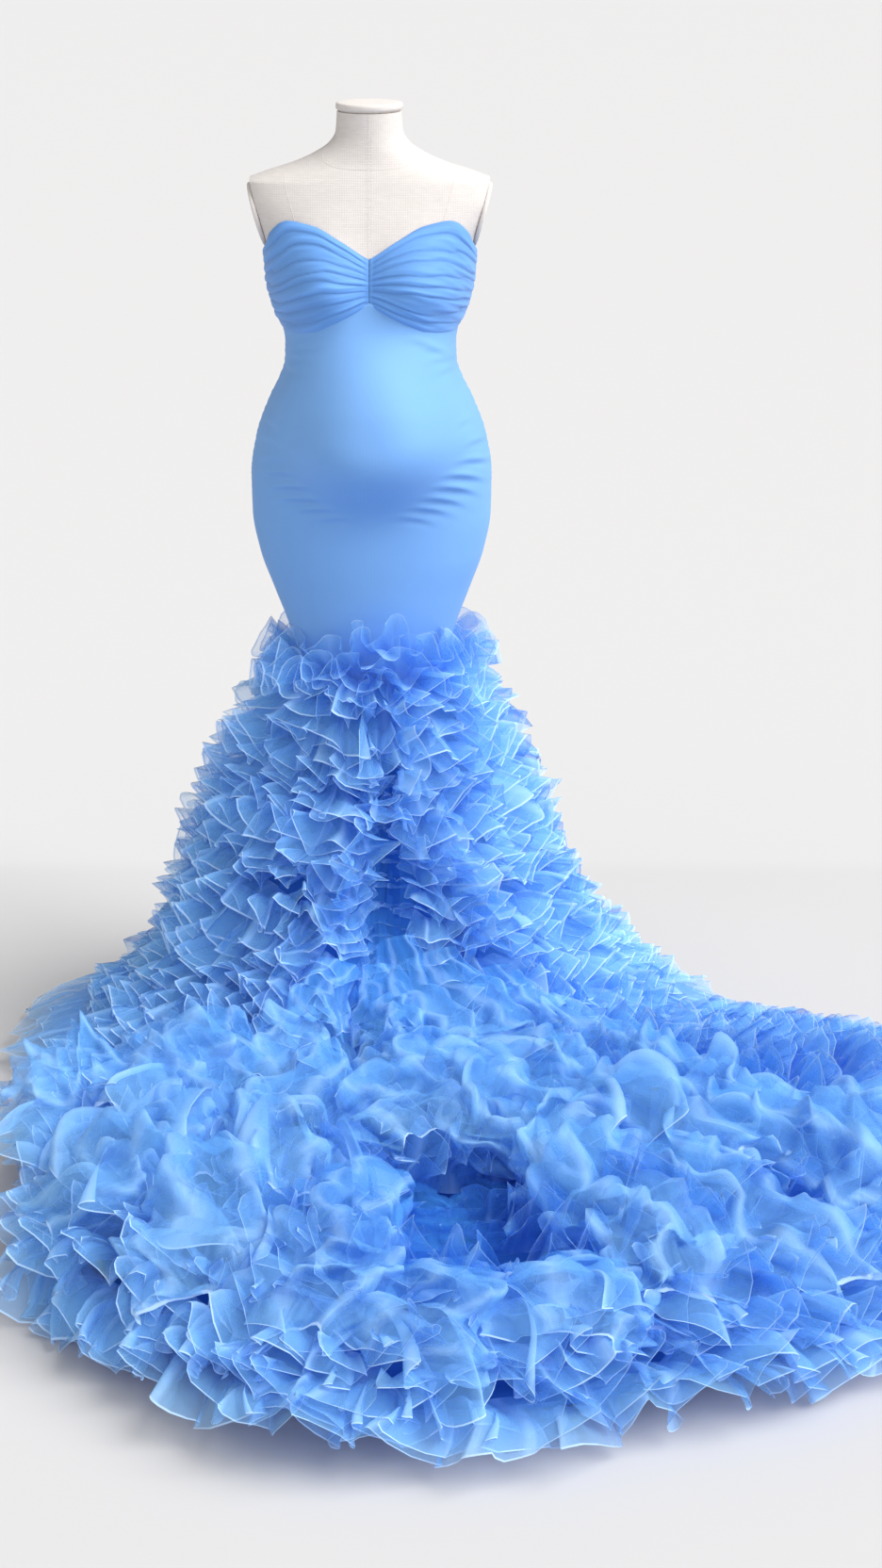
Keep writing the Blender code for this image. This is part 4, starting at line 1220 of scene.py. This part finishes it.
    def seams(self, finish):
        """The form's raised seams: centre front and back, the princess lines and the neck."""
        sunk = -FORM_INSET - 0.00010
        heights = np.linspace(1.30, NECK_TOP - 0.001, 90)
        for name, azimuth in (("seam_centre_front", FRONT), ("seam_centre_back", BACK)):
            path = body_points(np.full(90, azimuth), heights, np.full(90, sunk))
            finished(tube_along(name, path, SEAM_RADIUS, finish))
        low = np.linspace(1.33, 1.447, 60)
        for name, side in (("seam_princess_left", 1), ("seam_princess_right", -1)):
            x = side * (0.112 + 0.020 * smooth_step(1.35, 1.45, low))
            path = body_points(azimuth_at(x, low), low, np.full(60, sunk))
            finished(tube_along(name, path, PRINCESS_RADIUS, finish))
        around = np.linspace(0, 360, 160, endpoint=False)
        front = np.clip(-np.sin(np.radians(around)), 0, 1) ** 1.5
        back = np.clip(np.sin(np.radians(around)), 0, 1)
        path = body_points(around, 1.489 - 0.036 * front - 0.006 * back, np.full(160, sunk))
        finished(tube_along("seam_neck", path, SEAM_RADIUS, finish, closed=True))


class GOWN_OT_stitches(bpy.types.Operator):
    """Runs small hand stitches beside the form's centre seam with geometry nodes"""

    bl_idname = "gown.stitches"
    bl_label = "Form stitches"

    def execute(self, context):
        finish = linen_material(context.scene.gown_colours, "linen_thread", 0.93)
        heights = np.linspace(1.352, 1.500, 60)
        azimuths = [azimuth_at(np.full(60, x), heights) for x in (-STITCH_ASIDE, STITCH_ASIDE)]
        azimuths.append(np.full(60, BACK + 0.6))
        rows = [body_points(azimuth, heights, np.full(60, -FORM_INSET)) for azimuth in azimuths]
        guide = bpy.data.curves.new("stitch_lines", "CURVE")
        guide.dimensions = "3D"
        for row in rows:
            line = guide.splines.new("POLY")
            line.points.add(len(row) - 1)
            for point, place in zip(line.points, row):
                point.co = (*place, 1.0)
        source = link(bpy.data.objects.new("stitch_lines", guide))
        source.modifiers.new("stitches", "NODES").node_group = self.tree(finish)
        modifier = source.modifiers["stitches"]
        given = {
            "Pitch": context.scene.gown_sizes.stitch_pitch,
            "Thread radius": STITCH_RADIUS,
            "Stitch length": STITCH_LENGTH,
        }
        for item in modifier.node_group.interface.items_tree:
            if item.name in given:
                modifier[item.identifier] = given[item.name]
        bpy.context.view_layer.update()
        seen = source.evaluated_get(context.evaluated_depsgraph_get())
        mesh = bpy.data.meshes.new_from_object(seen)
        bpy.data.objects.remove(source)
        bpy.data.curves.remove(guide)
        mesh.name = "form_stitches"
        stitches = link(bpy.data.objects.new("form_stitches", mesh))
        if not mesh.materials:
            mesh.materials.append(finish)
        finished(stitches)
        return {"FINISHED"}

    def tree(self, finish):
        """Short capsules of thread at a pitch along each line."""
        tree = bpy.data.node_groups.new("stitch run", "GeometryNodeTree")
        tree.interface.new_socket("Geometry", in_out="INPUT", socket_type="NodeSocketGeometry")
        for name in ("Pitch", "Thread radius", "Stitch length"):
            tree.interface.new_socket(name, in_out="INPUT", socket_type="NodeSocketFloat")
        tree.interface.new_socket("Geometry", in_out="OUTPUT", socket_type="NodeSocketGeometry")
        given = tree.nodes.new("NodeGroupInput")
        ends = tree.nodes.new("NodeGroupOutput")
        spaced = add(
            tree, "GeometryNodeResampleCurve", {"mode": "LENGTH"},
            {"Curve": given.outputs["Geometry"], "Length": given.outputs["Pitch"]},
        )
        points = add(
            tree, "GeometryNodeCurveToPoints", {"mode": "EVALUATED"}, {"Curve": spaced.outputs["Curve"]}
        )
        thread = add(
            tree, "GeometryNodeMeshCylinder", None,
            {
                "Vertices": 8,
                "Side Segments": 1,
                "Radius": given.outputs["Thread radius"],
                "Depth": given.outputs["Stitch length"],
            },
        )
        rounded = add(tree, "GeometryNodeSetShadeSmooth", None, {"Geometry": thread.outputs["Mesh"]})
        copies = add(
            tree, "GeometryNodeInstanceOnPoints", None,
            {
                "Points": points.outputs["Points"],
                "Instance": rounded.outputs["Geometry"],
                "Rotation": points.outputs["Rotation"],
            },
        )
        real = add(tree, "GeometryNodeRealizeInstances", None, {"Geometry": copies.outputs["Instances"]})
        dressed = add(
            tree, "GeometryNodeSetMaterial", None, {"Geometry": real.outputs["Geometry"], "Material": finish}
        )
        tree.links.new(dressed.outputs["Geometry"], ends.inputs["Geometry"])
        return tree


class GOWN_OT_jersey(bpy.types.Operator):
    """Cuts the two jersey panels that follow the bump, hips and thighs"""

    bl_idname = "gown.jersey"
    bl_label = "Jersey panels"

    def execute(self, context):
        finish = jersey_material(context.scene.gown_colours)
        front = FRONT + HALF_PANEL * np.linspace(-1, 1, 147)
        top = CUP["bottom"](cup_along(front)) + RUCHING_TUCK
        panel = jersey_panel("jersey_front", front, top, 150, True, finish)
        finished(panel)
        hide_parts("front_panel")
        declare_cloth(panel, 2)
        back = BACK + HALF_PANEL * np.linspace(-1, 1, 91)
        panel = jersey_panel("jersey_back", back, back_edges(back)[0] + RUCHING_TUCK, 110, False, finish)
        finished(panel)
        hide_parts("back_panel")
        declare_cloth(panel, 2)
        return {"FINISHED"}


class GOWN_OT_bust(bpy.types.Operator):
    """Gathers the two halves of the sweetheart bust and the band behind"""

    bl_idname = "gown.bust"
    bl_label = "Ruched bust"

    def execute(self, context):
        sizes = context.scene.gown_sizes
        finish = ruched_material(context.scene.gown_colours)
        for side, name, seed in ((1, "left", 40), (-1, "right", 71)):
            azimuths = FRONT + side * np.linspace(0.02, 89.9, 110)
            along = cup_along(azimuths)
            scallop = 0.0016 * smooth_step(0.75, 1.0, along) * wander(seed + 9, along, 0.2)
            cup = ruched_piece(
                f"ruched_cup_{name}", azimuths, CUP["bottom"](along) - scallop, CUP["top"](along) + scallop,
                sizes.ruching_folds, sizes.ruching_height, seed, True, finish,
            )
            finished(cup)
            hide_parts(f"cup_{name}")
            declare_cloth(cup, 2)
        azimuths = np.linspace(0.1, 179.9, 120)
        bottom, top = back_edges(azimuths)
        flatter = 0.7 * sizes.ruching_height
        band = ruched_piece("ruched_band", azimuths, bottom, top, 7, flatter, 95, False, finish)
        finished(band)
        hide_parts("back_band")
        declare_cloth(band, 2)
        return {"FINISHED"}


class GOWN_OT_underskirt(bpy.types.Operator):
    """Spreads the lined tulle that carries the ruffles, from the knee to the hem"""

    bl_idname = "gown.underskirt"
    bl_label = "Underskirt"

    def execute(self, context):
        finish = lining_material(context.scene.gown_colours)
        share = np.linspace(0, SKIRT_END, 52)[:, None]
        azimuth = np.linspace(0, 360, 200, endpoint=False)[None, :]
        share, azimuth = np.broadcast_arrays(share, azimuth)
        normals = skirt_normals(azimuth, share)
        waved = smooth_step(0.02, 0.3, share) * (1 - smooth_step(0.45, 0.6, share))
        ripple = 0.006 * np.sin(np.radians(azimuth) * 34) * waved
        sunk = 0.006 + 0.008 * smooth_step(0.03, 0.12, share)
        outer = skirt_surface(azimuth, share) + normals * (ripple - sunk)[..., None]
        reach = np.linalg.norm(outer[..., :2], axis=-1)
        hem = PLAN["hem"](azimuth)
        short = 1 - smooth_step(0.4, 0.9, hem - PLAN["foot"](azimuth))
        slant = (PLAN["hem"](azimuth + 1) - PLAN["hem"](azimuth - 1)) / math.radians(2) / hem
        tuck = (0.034 + 0.040 * short) * np.hypot(1, slant)
        tucked = 1 - tuck / reach * smooth_step(0.78, SKIRT_END, share)
        outer[..., :2] = outer[..., :2] * tucked[..., None]
        outer[..., 2] = np.maximum(outer[..., 2], 0.0016)
        inner = outer - normals * 0.0009
        inner[..., 2] = np.maximum(inner[..., 2], 0.0006)
        uvs = np.stack([np.radians(azimuth) * 0.4, share], axis=-1)
        skirt = shell("lined_skirt", outer, inner, uvs, finish, wraps=True)
        finished(skirt)
        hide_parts("underskirt", "train_panel")
        declare_cloth(skirt, 2)
        return {"FINISHED"}


class GOWN_OT_cone_ruffles(bpy.types.Operator):
    """Sews rows of gathered tulle round the cone of the skirt, two plies to a row"""

    bl_idname = "gown.cone_ruffles"
    bl_label = "Cone ruffles"

    def execute(self, context):
        sizes = context.scene.gown_sizes
        colours = context.scene.gown_colours
        finish = tulle_material("nylon_tulle", colours, NET_COVER, sizes.edge_width / sizes.ruffle_depth)
        shares = np.linspace(0, 0.52, 200)
        middle = skirt_surface(np.full(200, 315.0), shares)
        lengths = np.concatenate([[0.0], np.cumsum(np.linalg.norm(np.diff(middle, axis=0), axis=1))])
        rows = int(lengths[-1] / sizes.ruffle_spacing) + 1
        azimuth = ROUND_STEPS
        groups = {
            "heading_tulle": (["heading_ruffle"], Flounces(14, 9)),
            "upper_ruffles": (["ruffle_01", "ruffle_02", "ruffle_03"], Flounces()),
            "middle_ruffles": (["ruffle_04", "ruffle_05", "ruffle_06"], Flounces()),
            "lower_ruffles": (["ruffle_07", "ruffle_08"], Flounces()),
        }
        valley = hill(azimuth, FURROW_AZIMUTH, VALLEY_WIDTH, 4)
        for row in range(rows):
            base = np.interp(0.004 + row * sizes.ruffle_spacing, lengths, shares)
            group = "upper_ruffles" if base < 0.22 else "middle_ruffles" if base < 0.40 else "lower_ruffles"
            for ply in range(PLIES):
                seed = 1000 + 37 * row + 11 * ply
                sway = 0.016 * wander(77, azimuth, 60.0) + 0.005 * wander(seed, azimuth, 70.0)
                sway = sway * smooth_step(0.0, 0.08, base)
                sway = sway - sway[0] * (1 - azimuth / 360) - sway[-1] * azimuth / 360
                share = np.clip(base + sway + 0.008 * ply, 0.0, 0.53)
                path, out, down = skirt_path(azimuth, share)
                path = path - out * 0.010 * smooth_step(0.03, 0.12, base)
                # Ruffles thin out over the valley, where the lining's painted-shade blue shows.
                bare = 0.99 * valley * smooth_step(0.08, 0.13, base) * (1 - smooth_step(0.34, 0.42, base))
                depth = sizes.ruffle_depth * (1.0 if ply else 0.86)
                groups[group][1].add(
                    path, out, down, depth, sizes.ruffle_loop, 0.48 * sizes.ruffle_loop,
                    (80 - 8 * ply, 44 - 26 * ply), seed + 5, closed=True, fullness=1 - bare,
                    flatten=0.7 * pressed(azimuth) * smooth_step(0.30, 0.46, base),
                )
        self.heading(groups["heading_tulle"][1])
        self.cascades(groups["upper_ruffles"][1])
        self.pleats(groups["middle_ruffles"][1])
        for name, (nodes, strips) in groups.items():
            obj = strips.make(name, finish)
            finished(obj)
            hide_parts(*nodes)
            declare_cloth(obj)
        return {"FINISHED"}

    def heading(self, strips):
        """Ruffles over the knee seam that stand up against the jersey, highest at the front."""
        azimuth = ROUND_STEPS
        front = hill(azimuth, 278, 22)
        for ply, (drop, lift, depth, high) in enumerate((
            (0.006, 52, 0.100, 0.4),
            (0.000, 30, 0.080, 1.0),
            (0.012, 74, 0.100, 0.4),
            (0.004, 50, 0.095, 1.0),
            (0.020, 64, 0.100, 0.4),
        )):
            rise = 0.046 * front * high
            height = KNEE_HEIGHT - drop + rise
            normals = normals_of(body_surface, azimuth, height, *BODY_STEPS)
            path = body_surface(azimuth, height) + normals * 0.0010
            up = np.zeros_like(path)
            up[:, 2] = 1.0
            strips.add(
                path, normals, up, depth, 0.060, 0.026, (lift, lift + 8), 700 + 13 * ply, closed=True,
                fullness=0.80 + 0.20 * front, crush=(0.008, 0.002),
            )

    def cascades(self, strips):
        """Loose ruffles that run down the cone beside the valley, sewn along their inner edges."""
        for start, end, from_share, to_share, side, depth, seed in (
            (270.0, 263.0, 0.00, 0.30, -1, 0.080, 31),
            (266.0, 254.0, 0.14, 0.44, -1, 0.085, 32),
            (284.0, 290.0, 0.02, 0.28, 1, 0.080, 33),
            (303.0, 291.0, 0.16, 0.50, -1, 0.062, 34),
            (292.0, 302.0, 0.20, 0.50, 1, 0.095, 35),
        ):
            t = np.linspace(0, 1, 120)
            azimuth = start + (end - start) * t + 1.6 * wander(seed, t, 0.6)
            share = from_share + (to_share - from_share) * t
            path, out, down = skirt_path(azimuth, share)
            ahead = unit(np.gradient(path, axis=0))
            across = side * unit(np.cross(out, ahead))
            away = unit(across + 0.35 * down)
            path = path + out * 0.022
            strips.add(
                path, out, away, depth, 0.054, 0.027, (84, 52), seed * 91,
                fullness=tapered(t, 0.45), crush=(0.012, 0.002),
            )

    def pleats(self, strips):
        """Plain soft pleats of net that run down inside the valley, kept in the darker gathered tulle as
        painted shade.
        """
        t = np.linspace(0, 1, 34)
        for seed, azimuth, width in (
            (60, 268.5, 0.040), (61, 273.0, 0.034), (62, 277.0, 0.038), (63, 281.5, 0.040),
        ):
            path, out, _ = skirt_path(azimuth + 1.2 * wander(seed, t, 0.9), 0.10 + 0.36 * t)
            strips.billow(path - out * 0.022, out, width, 0.022, 0.0, seed, pale=0.05)


class GOWN_OT_train_ruffles(bpy.types.Operator):
    """Sews rows of deeper ruffles across the train and round the hem, and heaps loose net at the front"""

    bl_idname = "gown.train_ruffles"
    bl_label = "Train ruffles"

    def execute(self, context):
        sizes = context.scene.gown_sizes
        colours = context.scene.gown_colours
        edge = sizes.edge_width
        finish = tulle_material("nylon_tulle_train", colours, NET_COVER, edge / sizes.train_depth)
        loose = tulle_material("nylon_tulle_loose", colours, LOOSE_COVER, edge / LOOSE_DEPTH)
        groups = {
            "train_upper": (["train_ruffle_1", "train_ruffle_2"], Flounces(), finish),
            "train_lower": (["train_ruffle_3", "train_ruffle_4"], Flounces(), finish),
            "hem_tulle": (["hem_ruffle"], Flounces(), finish),
            "loose_tulle": ([], Flounces(40, 15), loose),
        }
        self.rows(groups, sizes)
        self.heap(groups["loose_tulle"][1])
        for name, (nodes, strips, material) in groups.items():
            obj = strips.make(name, material)
            finished(obj)
            if nodes:
                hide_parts(*nodes)
            declare_cloth(obj, 1)
        return {"FINISHED"}

    def rows(self, groups, sizes):
        azimuth = np.linspace(90, 450, 1441)
        run = PLAN["hem"](azimuth) - PLAN["foot"](azimuth)
        setbacks = list(HEM_SETBACKS)
        while setbacks[-1] < run.max():
            setbacks.append(setbacks[-1] + sizes.train_spacing)
        shares = np.linspace(0.5, 1.0, 400)
        runs = PROFILE["run"](shares)
        short = 1 - smooth_step(0.4, 0.9, run)
        for row, setback in enumerate(setbacks):
            hem_row = row == 0
            within = setback + 0.026 * (1 - smooth_step(0.5, 0.9, run)) - 0.034 * hill(azimuth, 247, 9)
            within = np.minimum(within, (0.50, 0.68, 0.86)[row] * run) if row < 3 else within
            inside = run > within + 0.02
            droop = smooth_step(0.10, 0.42, setback)
            group = "hem_tulle" if row < 3 else "train_lower" if setback < 0.45 else "train_upper"
            spans = [(0, len(azimuth) - 1)] if inside.all() else self.spans(inside)
            for first, last in spans:
                if last - first < 40:
                    continue
                part = slice(first, last + 1)
                along = np.linspace(0, 1, last - first + 1)
                fullness = np.ones_like(along) if inside.all() else tapered(along, 0.25, 0.35)
                fullness = fullness * np.clip(run[part] / 0.50, 0.90 if hem_row else 0.55, 1.0)
                lying = pressed(azimuth[part]) + (0.9 * short[part] if hem_row else 0.0)
                for ply in range(PLIES):
                    seed = 5000 + 41 * row + 17 * ply
                    sway = 0.026 * wander(seed, azimuth[part], 40.0) * (0.3 if hem_row else 1.0)
                    sway = sway + 0.010 * ply
                    back = within[part] + sway * np.clip(run[part] / 0.5, 0.3, 1)
                    share = np.clip(np.interp(1 - back / run[part], runs, shares), 0.505, 0.994)
                    # Ruffles thin out over the hollow, where the lining's painted-shade blue shows.
                    hollow = hill(azimuth[part], EYE_PLACE[0], EYE_WIDTHS[0], 4)
                    hollow = hollow * hill(share, EYE_PLACE[1], EYE_WIDTHS[1], 4)
                    path, out, down = skirt_path(azimuth[part], share)
                    depth = sizes.train_depth * (0.90 if hem_row else 1.0)
                    loop = sizes.train_loop * (1.45 if hem_row else 1.2 if row < 4 else 1.0)
                    lift = (70 - 8 * ply + 16 * droop, -4 + 8 * ply + (50 - 22 * ply) * droop)
                    groups[group][1].add(
                        path, out, down, depth, loop, (0.30 if hem_row else 0.40) * loop, lift, seed + 3,
                        fullness=fullness * (1 - 0.9 * hollow), crush=(0.016, 0.0025),
                        flatten=0.85 * np.clip(lying, 0, 1), droop=58 if hem_row else 24,
                    )

    def spans(self, inside):
        """First and last index of each stretch that is inside."""
        edges = np.flatnonzero(np.diff(np.concatenate([[0], inside.astype(int), [0]])))
        return [(a, b - 1) for a, b in zip(edges[::2], edges[1::2])]

    def heap(self, strips):
        """Loose net over the front of the train: bunched rolls that spread out from the middle, and a few
        wide sheets between them."""
        dice = np.random.default_rng(77)
        for inner, outer, first, last, count, width, height, later, sooner in (
            (0.38, 0.64, 262, 298, 6, 0.13, 0.090, 0.00, 0.00),
            (0.56, 0.80, 248, 306, 8, 0.17, 0.110, 0.00, 0.11),
            (0.70, 0.93, 242, 306, 11, 0.18, 0.110, 0.15, 0.00),
        ):
            for place in np.linspace(first, last, count):
                hollow = hill(place, 276, 7, 4)
                spread = (place - 274) * 0.22 + dice.uniform(-5, 5)
                t = np.linspace(0, 1, 76)
                azimuth = place + dice.uniform(-3, 3) + spread * t**1.4
                azimuth = azimuth + 2.0 * np.sin(math.pi * t) * dice.uniform(-1, 1)
                start = inner + dice.uniform(-0.03, 0.03) + later * hollow
                share = start + (outer - sooner * hollow - start) * t
                path, out, _ = skirt_path(azimuth, np.clip(share, 0.34, 0.97))
                strips.billow(
                    path + out * 0.030, out, width * dice.uniform(0.8, 1.25),
                    height * dice.uniform(0.8, 1.2) * (1 - 2.5 * later * hollow),
                    np.sign(spread) * dice.uniform(0.1, 0.7), int(dice.integers(1000)),
                )
        # Three low rolls down the hollow, kept in the darker gathered tulle as painted shade.
        t = np.linspace(0, 1, 30)
        for seed, place in ((80, 271.5), (81, 275.5), (82, 279.5)):
            path, out, _ = skirt_path(place + 2.0 * wander(seed, t, 0.9), 0.66 + 0.15 * t)
            strips.billow(path - out * 0.016, out, 0.075, 0.030, 0.2, seed, pale=0.02)
        for index, (start, end, inner, outer, depth, loop, lift) in enumerate((
            (250, 294, 0.500, 0.530, 0.22, 0.120, 60),
            (240, 270, 0.620, 0.680, 0.22, 0.120, 56),
            (283, 308, 0.640, 0.680, 0.22, 0.125, 56),
            (238, 267, 0.780, 0.800, 0.22, 0.130, 54),
            (262, 292, 0.875, 0.880, 0.16, 0.110, 28),
        )):
            seed = 9000 + 29 * index
            t = np.linspace(0, 1, 200)
            azimuth = start + (end - start) * t
            share = inner + (outer - inner) * t + 0.030 * wander(seed, t, 0.7)
            path, out, down = skirt_path(azimuth, np.clip(share, 0.47, 0.97))
            path = path + out * 0.045
            strips.add(
                path, out, down, depth, loop, 0.34 * loop, (lift + 10, -40), seed + 1,
                fullness=tapered(t, 0.4), crush=(0.030, 0.0030),
            )


STEPS = (
    GOWN_OT_stage,
    GOWN_OT_dress_form,
    GOWN_OT_stitches,
    GOWN_OT_jersey,
    GOWN_OT_bust,
    GOWN_OT_underskirt,
    GOWN_OT_cone_ruffles,
    GOWN_OT_train_ruffles,
)


class GOWN_PT_panel(bpy.types.Panel):
    """Lists the gown's pieces, sizes and colours"""

    bl_label = "Gown"
    bl_idname = "GOWN_PT_panel"
    bl_space_type = "VIEW_3D"
    bl_region_type = "UI"
    bl_category = "Gown"

    def draw(self, context):
        for step in STEPS:
            self.layout.operator(step.bl_idname)
        for group in (context.scene.gown_sizes, context.scene.gown_colours):
            box = self.layout.box()
            for name in group.__annotations__:
                box.prop(group, name)


CLASSES = (GownSizes, GownColours, *STEPS, GOWN_PT_panel)


def register():
    for item in CLASSES:
        bpy.utils.register_class(item)
    bpy.types.Scene.gown_sizes = PointerProperty(type=GownSizes)
    bpy.types.Scene.gown_colours = PointerProperty(type=GownColours)


def unregister():
    del bpy.types.Scene.gown_colours
    del bpy.types.Scene.gown_sizes
    for item in reversed(CLASSES):
        bpy.utils.unregister_class(item)


def main():
    register()
    for step in STEPS:
        family, name = step.bl_idname.split(".")
        getattr(getattr(bpy.ops, family), name)()


if __name__ == "__main__":
    main()
